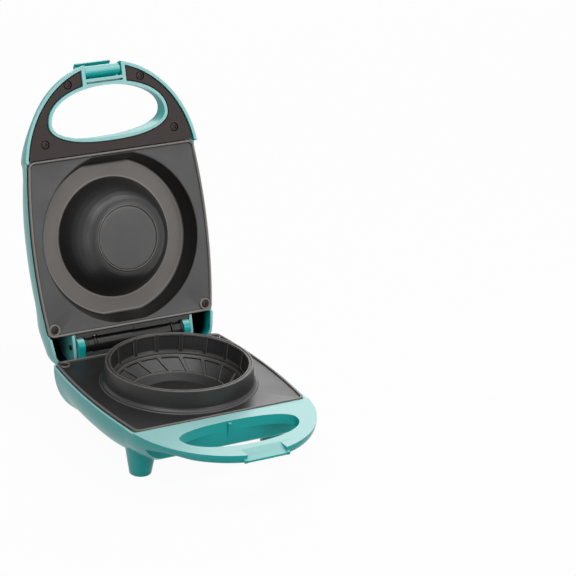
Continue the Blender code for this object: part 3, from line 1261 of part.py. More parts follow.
def lamp_lens(name, side):
    roof = crown_depth(LAMP_Y, LID_DEPTH)
    foot = roof - BOARD_DROP + TOUCH_GAP
    collar = roof - HOUSING_WALL - LAMP_COLLAR_GAP
    profile = [(0.0, foot), (LAMP_BASE_RADIUS, foot), (LAMP_BASE_RADIUS, collar), (LAMP_RADIUS, collar),
               (LAMP_RADIUS, roof), (LAMP_RADIUS * LAMP_TOP_SHARE, roof + LAMP_PROUD),
               (0.0, roof + LAMP_PROUD)]
    return turned(name, profile, SMALL_STEPS, (side * LAMP_SPACING / 2, LAMP_Y, 0.0))


def lamp_board():
    roof = crown_depth(LAMP_Y, LID_DEPTH) - BOARD_DROP
    return block("lamp_board", (-BOARD_LENGTH / 2, LAMP_Y - BOARD_WIDTH / 2, roof - BOARD_THICKNESS),
                 (BOARD_LENGTH / 2, LAMP_Y + BOARD_WIDTH / 2, roof))


def frame_empty(name, home, parent, parent_home, turn):
    """Empty on a joint axis; home is its place in the closed machine's frame."""
    made = bpy.data.objects.new(name, None)
    bpy.context.scene.collection.objects.link(made)
    made.parent = parent
    made.location = Vector(home) - Vector(parent_home)
    made.rotation_euler = (turn, 0.0, 0.0)
    return made


def seat(node, frame, home, colour, roughness, metallic=0.0):
    """Hang a finished piece on its frame, give it its material and shade it."""
    node.parent = frame
    node.location = -Vector(home)
    node.data.materials.clear()
    node.data.materials.append(material(node.name + "_finish", colour, roughness, metallic))
    node.data.shade_smooth()
    node.data.set_sharp_from_angle(angle=math.radians(32))
    return node


def build_base(frame):
    home = (0.0, 0.0, 0.0)
    seat(base_housing(), frame, home, "aqua", 0.35)
    seat(lower_plate(), frame, home, "coating", 0.42)
    seat(bottom_cover(), frame, home, "aqua", 0.4)
    for foot, x, y in foot_places():
        top = PAD_THICKNESS - FLOOR_DROP
        pad = cylinder("foot_pad_" + foot, PAD_RADIUS, -FLOOR_DROP, top, PAD_STEPS, (x, y, 0.0))
        seat(pad, frame, home, "rubber", 0.8)
    for label, x, y in bottom_screw_places():
        seat(screw("bottom_screw_" + label, x, y, bottom_screw_seat(), -1), frame, home, "steel", 0.35, 1.0)
    for label, side in (("left", -1), ("right", 1)):
        head = screw("lower_plate_screw_" + label, side * PLATE_SCREW_X, PLATE_SCREW_Y,
                     plate_screw_seat(LOWER_FACE, 1), 1)
        seat(head, frame, home, "black", 0.4, 0.6)
        seat(hinge_pin("hinge_pin_" + label, side), frame, home, "steel", 0.3, 1.0)
    seat(hinge_tube(), frame, home, "black", 0.45)
    seat(cord_gland(), frame, home, "black", 0.6)
    seat(heater("lower_heater", LOWER_HEATER_RADIUS, LOWER_HEATER_Z, -1), frame, home, "steel", 0.4, 1.0)
    dish = lower_reflector()
    gap = HEATER_TUBE_RADIUS * TERMINAL_GAP_SHARE
    rim = LOWER_HEATER_RADIUS + HEATER_TUBE_RADIUS * 3
    near = LOWER_HEATER_RADIUS * math.cos(HEATER_GAP_ANGLE / 2) - HEATER_TUBE_RADIUS * 2
    side_x = LOWER_HEATER_RADIUS * math.sin(HEATER_GAP_ANGLE / 2) + gap
    cut(dish, block("terminal_gap", (-side_x, near, -BASE_DEPTH), (side_x, rim, 0.0)))
    radius = THERMOSTAT_RADIUS + TOUCH_GAP
    cut(dish, cylinder("thermostat_hole", radius, -BASE_DEPTH, BOWL_UNDERSIDE - TOUCH_GAP,
                       SMALL_STEPS * 2))
    seat(dish, frame, home, "aluminium", 0.3, 1.0)
    seat(thermostat(), frame, home, "cream", 0.5)
    fuse_z = BOWL_UNDERSIDE - CASTING_WALL - REFLECTOR_THICKNESS - TOUCH_GAP - FUSE_RADIUS
    fuse = cylinder("thermal_fuse", FUSE_RADIUS, -FUSE_LENGTH / 2, FUSE_LENGTH / 2, SMALL_STEPS,
                    (0.0, -FUSE_OFFSET, fuse_z), "X")
    seat(fuse, frame, home, "cream", 0.5)
    low = terminal_seat_z() + TOUCH_GAP
    terminal = block("terminal_block", (-TERMINAL_LENGTH / 2, terminal_y() - TERMINAL_WIDTH / 2, low),
                     (TERMINAL_LENGTH / 2, terminal_y() + TERMINAL_WIDTH / 2, low + TERMINAL_HEIGHT))
    seat(terminal, frame, home, "cream", 0.5)


def build_lid(frame, home):
    seat(lid_housing(), frame, home, "aqua", 0.35)
    seat(handle_cover(), frame, home, "black", 0.5)
    seat(upper_plate(), frame, home, "coating", 0.42)
    for label, x, y in cover_screw_places():
        made = screw("cover_screw_" + label, x, y, cover_screw_seat(), -1, COVER_SCREW_LENGTH)
        seat(made, frame, home, "black", 0.35, 0.6)
    for label, side in (("left", -1), ("right", 1)):
        head = screw("upper_plate_screw_" + label, side * PLATE_SCREW_X, PLATE_SCREW_Y,
                     plate_screw_seat(UPPER_FACE, -1), -1)
        seat(head, frame, home, "black", 0.4, 0.6)
        seat(knuckle("hinge_knuckle_" + label, side), frame, home, "black", 0.5)
    seat(wire_cover(), frame, home, "black", 0.5)
    seat(heater("upper_heater", UPPER_HEATER_RADIUS, UPPER_HEATER_Z, 1), frame, home, "steel", 0.4, 1.0)
    dish = upper_reflector()
    near = UPPER_HEATER_RADIUS * math.cos(HEATER_GAP_ANGLE / 2) - HEATER_TUBE_RADIUS * 2
    side_x = UPPER_HEATER_RADIUS * math.sin(HEATER_GAP_ANGLE / 2) + HEATER_TUBE_RADIUS * TERMINAL_GAP_SHARE
    cut(dish, block("terminal_gap", (-side_x, near, 0.0), (side_x, LID_REAR, LID_DEPTH)))
    seat(dish, frame, home, "aluminium", 0.3, 1.0)
    seat(lamp_lens("lamp_lens_red", -1), frame, home, "red_lens", 0.2)
    seat(lamp_lens("lamp_lens_green", 1), frame, home, "green_lens", 0.2)
    seat(lamp_board(), frame, home, "board", 0.6)
    end = LATCH_POST_OUTER - TOUCH_GAP
    pin = cylinder("latch_pin", LATCH_PIN_RADIUS, -end, end, SMALL_STEPS, (0.0, LATCH_Y, LATCH_Z), "X")
    seat(pin, frame, home, "steel", 0.3, 1.0)


def stand_on_floor(machine):
    """Put the middle of the whole box over the origin, with the pads on the floor."""
    bpy.context.view_layer.update()
    low = Vector((math.inf,) * 3)
    high = Vector((-math.inf,) * 3)
    for item in bpy.data.objects:
        if item.type != "MESH":
            continue
        for vert in item.data.vertices:
            place = item.matrix_world @ vert.co
            low = Vector(map(min, low, place))
            high = Vector(map(max, high, place))
    machine.location = (0.0, -(low.y + high.y) / 2, -low.z)
    bpy.context.view_layer.update()


def main():
    clear_scene()
    origin = (0.0, 0.0, 0.0)
    lid_home = (0.0, HINGE_Y, HINGE_Z)
    latch_home = (0.0, LATCH_Y, LATCH_Z)
    machine = frame_empty("machine_frame", origin, None, origin, 0.0)
    lid = frame_empty("lid_frame", lid_home, machine, origin, -LID_OPEN_ANGLE)
    latch = frame_empty("latch_frame", latch_home, lid, lid_home, -LATCH_OPEN_ANGLE)
    build_base(machine)
    build_lid(lid, lid_home)
    seat(latch_clip(), latch, latch_home, "aqua", 0.35)
    stand_on_floor(machine)
    for frame in (lid, latch):
        x, y, z = frame.matrix_world.translation
        print("%s axis at %.6f %.6f %.6f" % (frame.name, x, y, z))


main()
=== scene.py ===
"""Looks of a waffle bowl maker that stands open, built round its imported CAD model.

The pieces are drawn closed, in one frame in metres: X to the right, Y towards
the hinge, Z up from the parting plane, with the bowl's axis at X = Y = 0. Each
body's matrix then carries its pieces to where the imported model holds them.
"""

import math
from bisect import bisect_right

import bmesh
import bpy
from bpy.props import FloatProperty, FloatVectorProperty, IntProperty, PointerProperty
from mathutils import Matrix, Vector


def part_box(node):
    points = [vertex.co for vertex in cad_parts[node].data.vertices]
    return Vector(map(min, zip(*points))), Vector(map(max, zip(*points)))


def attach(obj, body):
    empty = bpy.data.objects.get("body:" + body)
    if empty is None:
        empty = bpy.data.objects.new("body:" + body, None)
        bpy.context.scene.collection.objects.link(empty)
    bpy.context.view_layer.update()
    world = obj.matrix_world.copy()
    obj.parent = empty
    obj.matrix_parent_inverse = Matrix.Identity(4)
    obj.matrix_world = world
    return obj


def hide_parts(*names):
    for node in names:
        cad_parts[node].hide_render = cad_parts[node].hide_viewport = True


bl_info = {
    "name": "Waffle Bowl Maker",
    "version": (1, 0, 0),
    "blender": (4, 5, 0),
    "location": "View3D > Sidebar > Waffle",
    "description": "Builds the visible pieces, finishes and stage of an open waffle bowl maker",
    "category": "Object",
}

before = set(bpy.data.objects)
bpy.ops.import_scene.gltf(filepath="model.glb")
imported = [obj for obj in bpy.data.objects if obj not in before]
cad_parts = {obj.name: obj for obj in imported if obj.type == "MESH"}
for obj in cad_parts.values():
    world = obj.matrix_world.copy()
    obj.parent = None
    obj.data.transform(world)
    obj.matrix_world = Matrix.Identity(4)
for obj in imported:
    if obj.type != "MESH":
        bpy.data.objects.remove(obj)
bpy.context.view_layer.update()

MM = 0.001
TAU = 2 * math.pi

# Baking plates
PLATE_LENGTH = 136.0 * MM
PLATE_MID_WIDTH = 151.0 * MM
PLATE_END_WIDTH = 141.4 * MM
PLATE_SHIFT = 0.6 * MM
PLATE_CORNER = 5.0 * MM
PLATE_THICKNESS = 3.0 * MM
PLATE_GAP = 1.0 * MM
BEAD_HEIGHT = 1.2 * MM
# Bead from the plate's face round to its back: inset from the edge in mm, share of its height
BEAD_SECTION = ((2.7, 0.0), (2.3, 0.04), (2.0, 0.22), (1.85, 0.6), (1.65, 0.88), (1.4, 1.0), (0.6, 1.0),
                (0.25, 0.9), (0.05, 0.65), (0.0, 0.35), (0.0, -1.0), (0.0, -2.5))
CASTING_WALL = 3.0 * MM

# Bowl and collar
COLLAR_RADIUS = 56.0 * MM
COLLAR_HEIGHT = 15.6 * MM
COLLAR_RIM = 3.5 * MM
COLLAR_DRAFT = 1.2 * MM
COLLAR_FLARE = 3.2 * MM
PANEL_PHASE = math.radians(18.0)
PANEL_SWIRL = math.radians(-11.0)
BOWL_FLOOR_RADIUS = 28.0 * MM
LEDGE_WIDTH = 2.6 * MM
LEDGE_SHARE = 0.51
TIER_FOOT_SHARE = 0.88
BAND_SHARE = 1.3
SWIRL_POWER = 1.35
PROFILE_ROUNDING = 0.9 * MM
PROFILE_STEP = 0.6 * MM
PANEL_SOFT = 0.8 * MM
# In mm from a tier's foot and top: where its panels' depth comes and where it goes
UPPER_BAND = ((0.9, 1.7), (2.1, 1.3))
LOWER_BAND = ((0.7, 1.3), (2.5, 1.9))
LOWER_DEPTH_SHARE = 0.85
SWIRL_START = 1.4 * MM
WELD = 0.004 * MM

# Pocket and dome
POCKET_RADIUS = 66.4 * MM
POCKET_FLOOR_RADIUS = 61.9 * MM
POCKET_CLEARANCE = 1.2 * MM
POCKET_END = 64.8 * MM
POCKET_FLOOR_END = 59.4 * MM
DOME_RADIUS = 47.0 * MM
DOME_HEIGHT = 26.0 * MM
DOME_DISC_RADIUS = 25.6 * MM
WAFFLE_FLOOR_GAP = 4.3 * MM
# Dome's side: share of its height, share of the way in to the disc
DOME_SECTION = ((0.035, 0.80), (0.10, 0.66), (0.22, 0.52), (0.38, 0.38), (0.55, 0.25), (0.72, 0.14),
                (0.88, 0.05), (1.0, 0.0))
# Pocket's wall: share of its run from the floor's edge to the mouth, share of its drop
POCKET_SECTION = ((-0.55, 0.0), (-0.35, 0.0), (-0.12, 0.02), (0.0, 0.06), (0.06, 0.14), (0.9, 0.92),
                  (0.97, 0.985), (1.1, 1.0), (1.25, 1.0))
POCKET_END_SHARE = 1.1
RUBBED_SHARE = -0.45
MOUTH_SHARE = 1.15
MOUTH_HEIGHT = 0.9 * MM
MOUTH_BAND = 1.0 * MM
DOME_BORDER = 1.2 * MM
UPPER_STEPS = 360

# Housings
BORDER = 2.5 * MM
INSIDE = 0.15 * MM
LID_SLIM = 1.6 * MM
LID_SLIM_RUN = (1.0 * MM, 4.0 * MM)
LID_SIDE_RIM = 3.6 * MM
LID_BACK_WALL = 2.0 * MM
SIDE_STEP_SHARE = 0.48
SIDE_STEP_ENDS = (1.0 * MM, 0.7 * MM)
PLATE_CLEARANCE = 0.4 * MM
WALL = 2.8 * MM
BASE_DEPTH = 35.0 * MM
LID_DEPTH = 40.0 * MM
HULL_REACH = 31.0 * MM
HULL_REAR_REACH = 14.0 * MM
HULL_FRONT_REACH = 3.0 * MM
HULL_CORNER = 10.0 * MM
HULL_POWER = 2.2
CROWN_SHARE = 0.2
CROWN_MIDDLE_SHARE = 0.054
CROWN_FLAT_SHARE = 0.147
CROWN_RUN_SHARE = 0.368
BASE_REAR_BORDER = 3.2 * MM
BASE_RIM = -2.2 * MM
LID_RIM = -1.6 * MM

# Handles
HANDLE_REACH = 82.6 * MM
HANDLE_ROOT_SHARE = 0.406
HANDLE_DEPTH = 8.0 * MM
HANDLE_TOP = -1.0 * MM
LID_HANDLE_EDGE = -0.4 * MM
HANDLE_WALL = 2.4 * MM
HANDLE_EDGE = 2.5 * MM
HANDLE_RISE_SHARE = 0.16
HOLE_WIDTH = 97.0 * MM
HOLE_LENGTH = 40.0 * MM
HOLE_BRIDGE = 11.1 * MM
HOLE_REAR_SHARE = 0.375
HOLE_FRONT_POWER = 2.1
HOLE_REAR_POWER = 2.3
RIB_WIDTH = 1.6 * MM
RIB_REACH = 2.6 * MM
COVER_RECESS = 0.8 * MM
COVER_THICKNESS = 2.4 * MM
COVER_FIT = 1.2 * MM
COVER_FLANGE = 1.2 * MM
COVER_WELL = 0.7 * MM
COVER_SCREW_X = (31.0 * MM, 55.5 * MM)
COVER_SCREW_INSETS = (15.2 * MM, 11.6 * MM)
# x, y and radius
LAMP_HOLE = (10.0 * MM, -2.0 * MM, 3.3 * MM)

# Hinge, with its block's width, length and depth
HINGE_BEHIND_PLATE = 9.9 * MM
HINGE_BLOCK = (97.566 * MM, 16.2 * MM, 24.0 * MM)
HINGE_BLOCK_DROP = 3.2 * MM
BLOCK_WALL_SHARE = 0.62
BLOCK_HEEL_SHARE = 0.9
BLOCK_TAPER_SHARES = (0.3, 0.7)
# Radius, x and height below the block's top
GLAND_HOLE = (5.7 * MM, -24.0 * MM, 12.5 * MM)
EAR_THICKNESS = 5.6 * MM
EAR_RADIUS = 7.0 * MM
KNUCKLE_RADIUS = 6.5 * MM
KNUCKLE_LENGTH = 9.9 * MM
KNUCKLE_RING = 1.6 * MM
KNUCKLE_GROOVE = 1.0 * MM
CLAW_THICKNESS = 1.3 * MM
PIN_BORE = 2.3 * MM
TUBE_RADIUS = 6.0 * MM
ARM_LENGTH = 24.0 * MM
ARM_WALL = 2.4 * MM
ARM_GAP = 1.0 * MM
# Height of the arms' undersides at the plate and at the lid's rear
ARM_LIFT = (1.2 * MM, 4.0 * MM)
ARM_LIFT_RUN = 2.3 * MM
WIRE_COVER_EDGE = 1.1 * MM
WIRE_COVER_SHEET = 0.8 * MM
# Length, width and height below the strip
WIRE_BAR = (31.0 * MM, 1.8 * MM, 0.7 * MM)
# Thickness of the black sheet of painted shade on the hinge block
SHADE_SHEET = 0.5 * MM

# Latch
LATCH_WIDTH = 30.4 * MM
LATCH_GAP = 0.4 * MM
LATCH_POST = 3.0 * MM
BARREL_RADIUS = 4.6 * MM
LATCH_ARM = 2.2 * MM
HOOK_REACH = 3.6 * MM
HOOK_DEPTH = 2.2 * MM
HOOK_SLOPE = 1.1 * MM
HOOK_PLAY = 0.4 * MM
LATCH_PLAY = 0.8 * MM
LATCH_ROOT = 0.5 * MM
BARREL_TURN_SHARE = 0.84
BARREL_LOW_SHARE = 0.62
NOTCH_WIDTH = 32.6 * MM
NOTCH_LENGTH = 10.0 * MM
NOTCH_SETBACK = 1.7 * MM
NOTCH_DROP = 4.5 * MM
NOTCH_LIP = 1.6 * MM
LATCH_SETBACK = 7.7 * MM
BAY_DEPTH = 12.7 * MM
BAR_WIDTH = 2.3 * MM
# Width and height of the slot behind the bar
SLOT = (1.4 * MM, 6.0 * MM)

# Feet and screws
FLOOR_DROP = 46.0 * MM
FOOT_RADII = (13.0 * MM, 8.0 * MM)
FOOT_ROOT = 17.0 * MM
PAD_PROUD = 0.6 * MM
FOOT_PLACES = [(sign * x * MM, y * MM) for x, y in ((56.0, -47.0), (42.0, 62.0)) for sign in (-1, 1)]
SCREW_HEAD = 2.9 * MM
SCREW_HEIGHT = 1.4 * MM
SCREW_RADIUS = 1.5 * MM
PLATE_SCREW_X = 65.6 * MM
PLATE_SCREW_INSET = 5.8 * MM
BOSS_RADIUS = 4.7 * MM
BOSS_SINK = 0.25 * MM
BOSS_EDGE = 0.35 * MM
PLATE_SCREW_LENGTH = 9.0 * MM
COVER_SCREW_LENGTH = 4.2 * MM
BOTTOM_SCREW_X = 26.0 * MM
BOTTOM_SCREW_Y = (-12.0 * MM, 32.0 * MM)
# Cross recess: half width and reach of an arm, depth, and the run of its two soft edges
CROSS = (0.42 * MM, 1.75 * MM, 0.9 * MM)
CROSS_SOFT = (0.25 * MM, 0.35 * MM)
SCREW_STEPS = 48
RECESS_STEPS = 17
ENDS = ("front_left", "front_right", "rear_left", "rear_right")
TOUCH = 0.3 * MM
OVER = 2.0 * MM

# Marks that the finishes read: wear and a painted highlight on edges, painted shade in folds, and painted
# sheen by how far a face looks up or out
EDGE_MARK_BEND = math.radians(15.0)
BORDER_WEAR_AND_HIGHLIGHT = 0.55
MOUTH_PAINTED_SHADE = -0.75
BEVEL_BEND = math.radians(40.0)
SHEEN_BEND = math.radians(30.0)
SHEEN_FACING = (0.6, 0.95)
SHEEN_SIDE = (0.4, 0.9)

# Places that follow
PLATE_FRONT = PLATE_SHIFT - PLATE_LENGTH / 2
PLATE_REAR = PLATE_SHIFT + PLATE_LENGTH / 2
LOWER_FACE = -BEAD_HEIGHT
LOWER_BACK = LOWER_FACE - PLATE_THICKNESS
UPPER_FACE = PLATE_GAP + BEAD_HEIGHT
UPPER_BACK = UPPER_FACE + PLATE_THICKNESS
POCKET_ROOF = COLLAR_HEIGHT + POCKET_CLEARANCE
POCKET_BACK = POCKET_ROOF + CASTING_WALL
DOME_TIP = POCKET_ROOF - DOME_HEIGHT
BOWL_FLOOR = DOME_TIP - WAFFLE_FLOOR_GAP
HANDLE_ROOT = PLATE_SHIFT - PLATE_LENGTH * HANDLE_ROOT_SHARE
HANDLE_FRONT = HANDLE_ROOT - HANDLE_REACH
HOLE_REAR = PLATE_FRONT - HOLE_BRIDGE
HOLE_FRONT = HOLE_REAR - HOLE_LENGTH
HOLE_MIDDLE = HOLE_REAR - HOLE_LENGTH * HOLE_REAR_SHARE
BASE_REAR = PLATE_REAR + BASE_REAR_BORDER
LID_BACK = PLATE_REAR + PLATE_CLEARANCE + LID_BACK_WALL
LID_REAR = PLATE_REAR + ARM_LENGTH
HINGE_Y = PLATE_REAR + HINGE_BEHIND_PLATE
HINGE_Z = 5.0 * MM
HINGE_LINE = (0.0, HINGE_Y, HINGE_Z)
EAR_OUTER = HINGE_BLOCK[0] / 2
EAR_INNER = EAR_OUTER - EAR_THICKNESS
KNUCKLE_OUTER = EAR_INNER - TOUCH * 2
KNUCKLE_INNER = KNUCKLE_OUTER - KNUCKLE_LENGTH
TUBE_HALF = KNUCKLE_INNER - TOUCH * 2
ARM_INNER = EAR_OUTER + ARM_GAP
LATCH_Y = HANDLE_FRONT + LATCH_SETBACK
LATCH_Z = 5.2 * MM
NOTCH_FRONT = HANDLE_FRONT + NOTCH_SETBACK
NOTCH_REAR = NOTCH_FRONT + NOTCH_LENGTH
NOTCH_FLOOR = HANDLE_TOP - NOTCH_DROP
LIP_UNDERSIDE = NOTCH_FLOOR - NOTCH_LIP
BAY_HALF = LATCH_WIDTH / 2 + LATCH_GAP
POST_OUTER = BAY_HALF + LATCH_POST
BAY_REAR = HANDLE_FRONT + BAY_DEPTH
PLATE_SCREW_Y = PLATE_REAR - PLATE_SCREW_INSET
LID_ANGLE = math.radians(-107.3)
LATCH_ANGLE = math.radians(-135.0)
BOWL_DEPTH = COLLAR_HEIGHT - BOWL_FLOOR
RIM_RADIUS = COLLAR_RADIUS - COLLAR_RIM
LEDGE_Z = COLLAR_HEIGHT - BOWL_DEPTH * LEDGE_SHARE
TIER_FOOT_Z = COLLAR_HEIGHT - BOWL_DEPTH * TIER_FOOT_SHARE
SCREW_SINK = SCREW_HEIGHT + TOUCH - BEAD_HEIGHT / 2
COVER_LOW = LID_HANDLE_EDGE + COVER_RECESS
COVER_BACK = COVER_LOW + COVER_THICKNESS
COVER_SEAM = LID_RIM + WALL / 2 + WIRE_COVER_EDGE
COVER_SCREW_Y = (HANDLE_FRONT + COVER_SCREW_INSETS[0], PLATE_FRONT - COVER_SCREW_INSETS[1])
COVER_SCREWS = [(sign * x, y) for x, y in zip(COVER_SCREW_X, COVER_SCREW_Y) for sign in (-1, 1)]

# Stage: place, size and setting of each lamp, and the camera fitted to the photograph
LAMPS = {"key_softbox": ((-0.7, -0.6, 1.9), 1.2, "key_power"),
         "top_softbox": ((0.5, -0.3, 1.6), 1.0, "top_power"),
         "back_softbox": ((1.0, 1.8, 0.95), 1.6, "back_power"),
         "fill_softbox": ((0.8, -1.55, 0.76), 0.9, "fill_power"),
         "left_softbox": ((-1.5, -1.0, 0.55), 1.0, "left_power")}
LAMP_TARGET = (0.0, 0.0, 0.12)
CAMERA_PLACE = (-0.89171, -1.632785, 0.87359)
CAMERA_DEGREES = {"azimuth": -31.26, "elevation": 22.04, "roll": 2.67}
CAMERA_LENS = 167.07


# ---------------------------------------------------------------- settings

class PlateSettings(bpy.types.PropertyGroup):
    panel_count: IntProperty(name="Panels", description="Recessed panels round the bowl, in each tier",
                             default=17, min=8, max=30)
    rib_width: FloatProperty(name="Rib width", description="Width of the ribs between the panels",
                             default=2.8 * MM, unit="LENGTH")
    recess: FloatProperty(name="Panel depth", description="How deep the panels lie behind the ribs",
                          default=1.1 * MM, unit="LENGTH")
    ring_height: FloatProperty(name="Ring height", description="Height of the thin ring on the dome's disc",
                               default=0.5 * MM, unit="LENGTH")


class HousingSettings(bpy.types.PropertyGroup):
    edge: FloatProperty(name="Edge radius", description="Rounding of the moulded edges",
                        default=0.6 * MM, unit="LENGTH")
    aqua: FloatVectorProperty(name="Housing colour", description="Colour of the moulded housings, sRGB",
                              subtype="COLOR_GAMMA", size=3, default=(0.03, 0.66, 0.65))


class StageSettings(bpy.types.PropertyGroup):
    key_power: FloatProperty(name="Key light", default=17.0,
                             description="Power of the large lamp at the front left")
    top_power: FloatProperty(name="Top light", default=8.0, description="Power of the lamp above")
    back_power: FloatProperty(name="Back light", default=16.0,
                              description="Power of the low lamp behind on the right")
    fill_power: FloatProperty(name="Fill light", default=9.5,
                              description="Power of the low lamp at the front right")
    left_power: FloatProperty(name="Left light", default=6.0, description="Power of the low lamp at the left")
    room: FloatProperty(name="Room light", default=0.12,
                        description="Strength of the white room on the object")


# ---------------------------------------------------------------- nodes and finishes

def add_node(tree, kind, inputs=None, **settings):
    """Add a node with its settings; an input is a value or another node's output."""
    made = tree.nodes.new(kind)
    for name, value in settings.items():
        setattr(made, name, value)
    for name, value in (inputs or {}).items():
        if isinstance(value, bpy.types.NodeSocket):
            tree.links.new(value, made.inputs[name])
        else:
            made.inputs[name].default_value = value
    return made


def linear(colour):
    """sRGB hex, or three sRGB shares, as a linear RGBA colour."""
    if isinstance(colour, str):
        colour = [int(colour[i:i + 2], 16) / 255 for i in (1, 3, 5)]
    return (*[c / 12.92 if c <= 0.04045 else ((c + 0.055) / 1.055) ** 2.4 for c in colour], 1.0)


def start_material(name, **shader_inputs):
    """A new material with a Principled shader, and the object's own coordinates."""
    made = bpy.data.materials.new(name)
    made.use_nodes = True
    tree = made.node_tree
    shader = tree.nodes["Principled BSDF"]
    for key, value in shader_inputs.items():
        shader.inputs[key.replace("_", " ")].default_value = value
    place = add_node(tree, "ShaderNodeTexCoord").outputs["Object"]
    return made, tree, shader, place


def blend(tree, share, first, second):
    """Colour that runs from the first to the second with the share."""
    made = add_node(tree, "ShaderNodeMix", {"Factor": share, 6: first, 7: second}, data_type="RGBA")
    return made.outputs[2]


def between(tree, share, low, high):
    """Value that runs from low to high with the share."""
    made = add_node(tree, "ShaderNodeMapRange", {"Value": share, "To Min": low, "To Max": high})
    return made.outputs["Result"]


def noise(tree, place, size, detail=2.0):
    """Share that goes up and down over about that size."""
    made = add_node(tree, "ShaderNodeTexNoise", {"Vector": place, "Scale": 1 / size, "Detail": detail})
    return made.outputs["Fac"]


def kept(tree, name):
    """Share that the piece keeps in its own attribute."""
    return add_node(tree, "ShaderNodeAttribute", attribute_name=name).outputs["Fac"]


def calculate(tree, operation, first, second, clamp=False):
    made = add_node(tree, "ShaderNodeMath", {0: first, 1: second}, operation=operation, use_clamp=clamp)
    return made.outputs[0]


def bumps(tree, height, strength, depth):
    made = add_node(tree, "ShaderNodeBump", {"Height": height, "Strength": strength, "Distance": depth})
    return made.outputs["Normal"]


def feed(tree, shader, **outputs):
    """Link node outputs to the shader's inputs of those names."""
    for name, output in outputs.items():
        tree.links.new(output, shader.inputs[name.replace("_", " ")])


def dimmed(colour, share):
    return (*[c * share for c in colour[:3]], 1.0)


def moulded_aqua_abs(settings):
    """Injection-moulded ABS: semi-gloss and deep in colour, with a painted sheen that pales it where it looks
    up or out, and painted shade deep in its hollows.
    """
    made, tree, shader, place = start_material("moulded_aqua_abs", Roughness=0.34, IOR=1.53,
                                               Specular_IOR_Level=0.25)
    aqua = linear(settings.aqua)
    # Flow patches about 45 mm across, hardly seen
    colour = blend(tree, noise(tree, place, 45 * MM, 3.0), aqua, dimmed(aqua, 0.94))
    # Painted sheen: faces that look up or outward are painted paler, as lit faces catch a whitish reflection
    colour = blend(tree, kept(tree, "haze"), colour, linear("#A6D4D2"))
    # Painted shade: deep inner faces are painted near black, as next to no light reaches them
    colour = blend(tree, kept(tree, "hollow"), colour, linear("#061212"))
    # Tool texture is about 0.3 mm; drawn at 1.2 mm, as a finer one would not show
    grain = noise(tree, place, 1.2 * MM, 4.0)
    feed(tree, shader, Base_Color=colour, Roughness=between(tree, grain, 0.25, 0.35),
         Normal=bumps(tree, grain, 0.12, 0.05 * MM))
    return made


def non_stick_coating(name, shade, worn_and_highlight_shades):
    """PTFE coating on cast aluminium: satin black, paler where it is rubbed, worn and with a painted
    highlight on its edges, and painted shade in its corners and folds.
    """
    made, tree, shader, place = start_material(name, Roughness=0.38, IOR=1.5)
    # Casting skin patches about 20 mm across show through the thin coat
    patch = noise(tree, place, 20 * MM, 5.0)
    colour = blend(tree, patch, linear(shade[0]), linear(shade[1]))
    # The waffle's rim rests on the pocket's floor and rubs it browner
    colour = blend(tree, kept(tree, "rubbed"), colour, linear(worn_and_highlight_shades[0]))
    # Edges lose their coat first and get a painted highlight; corners and folds get painted shade
    bend = kept(tree, "edge")
    colour = blend(tree, calculate(tree, "MULTIPLY", bend, 0.75, True), colour, linear(worn_and_highlight_shades[1]))
    colour = blend(tree, calculate(tree, "MULTIPLY", bend, -0.8, True), colour, linear("#080707"))
    # Filler flakes are under 0.1 mm; drawn at 0.7 mm, or the render would lose them
    fleck = add_node(tree, "ShaderNodeTexVoronoi", {"Vector": place, "Scale": 1 / (0.7 * MM)})
    spots = add_node(tree, "ShaderNodeMapRange", {"Value": fleck.outputs["Distance"], "From Max": 0.16,
                                                  "To Min": 0.35, "To Max": 0.0})
    colour = blend(tree, spots.outputs["Result"], colour, linear("#7A7672"))
    # Orange peel of the sprayed coat, about 1.6 mm from crest to crest
    peel = noise(tree, place, 1.6 * MM, 3.0)
    feed(tree, shader, Base_Color=colour, Roughness=between(tree, patch, 0.33, 0.45),
         Normal=bumps(tree, peel, 0.3, 0.06 * MM))
    return made


def moulded_black(name, shade, roughness, grain_size, depth):
    """Black engineering plastic from a textured tool: even and matt, a little brown where it is lit."""
    made, tree, shader, place = start_material(name, Roughness=roughness, IOR=1.52, Specular_IOR_Level=0.3)
    lit = linear(shade)
    colour = blend(tree, noise(tree, place, 15 * MM, 4.0), lit, dimmed(lit, 0.8))
    grain = noise(tree, place, grain_size, 3.0)
    feed(tree, shader, Base_Color=colour, Roughness=between(tree, grain, roughness - 0.06, roughness + 0.08),
         Normal=bumps(tree, grain, 0.3, depth))
    return made


def worked_metal(name, shade, roughness, line, stretch=(1.0, 1.0, 1.0)):
    """Metal with fine marks from its making, which run along the direction of the smallest stretch."""
    made, tree, shader, place = start_material(name, Roughness=roughness, Metallic=1.0)
    mapping = add_node(tree, "ShaderNodeMapping", {"Vector": place, "Scale": stretch})
    lines = noise(tree, mapping.outputs["Vector"], line, 3.0)
    colour = linear(shade)
    feed(tree, shader, Base_Color=blend(tree, lines, dimmed(colour, 0.82), colour),
         Roughness=between(tree, lines, roughness - 0.08, roughness + 0.12))
    return made


def tinted_lens(name, shade):
    """Clear-tinted polycarbonate lens: glossy, with some light passing into its body."""
    made, tree, shader, place = start_material(name, Roughness=0.12, IOR=1.58, Transmission_Weight=0.35)
    colour = linear(shade)
    pale = (*[min(1.0, c * 1.3 + 0.02) for c in colour[:3]], 1.0)
    feed(tree, shader, Base_Color=blend(tree, noise(tree, place, 3 * MM), colour, pale))
    return made


def steatite_ceramic():
    """Pressed steatite: cream, dull, with darker grains about half a millimetre wide."""
    made, tree, shader, place = start_material("steatite_ceramic", Roughness=0.55, IOR=1.6)
    grain = noise(tree, place, 0.5 * MM)
    feed(tree, shader, Base_Color=blend(tree, grain, linear("#DDD2B8"), linear("#C8BB9C")))
    return made


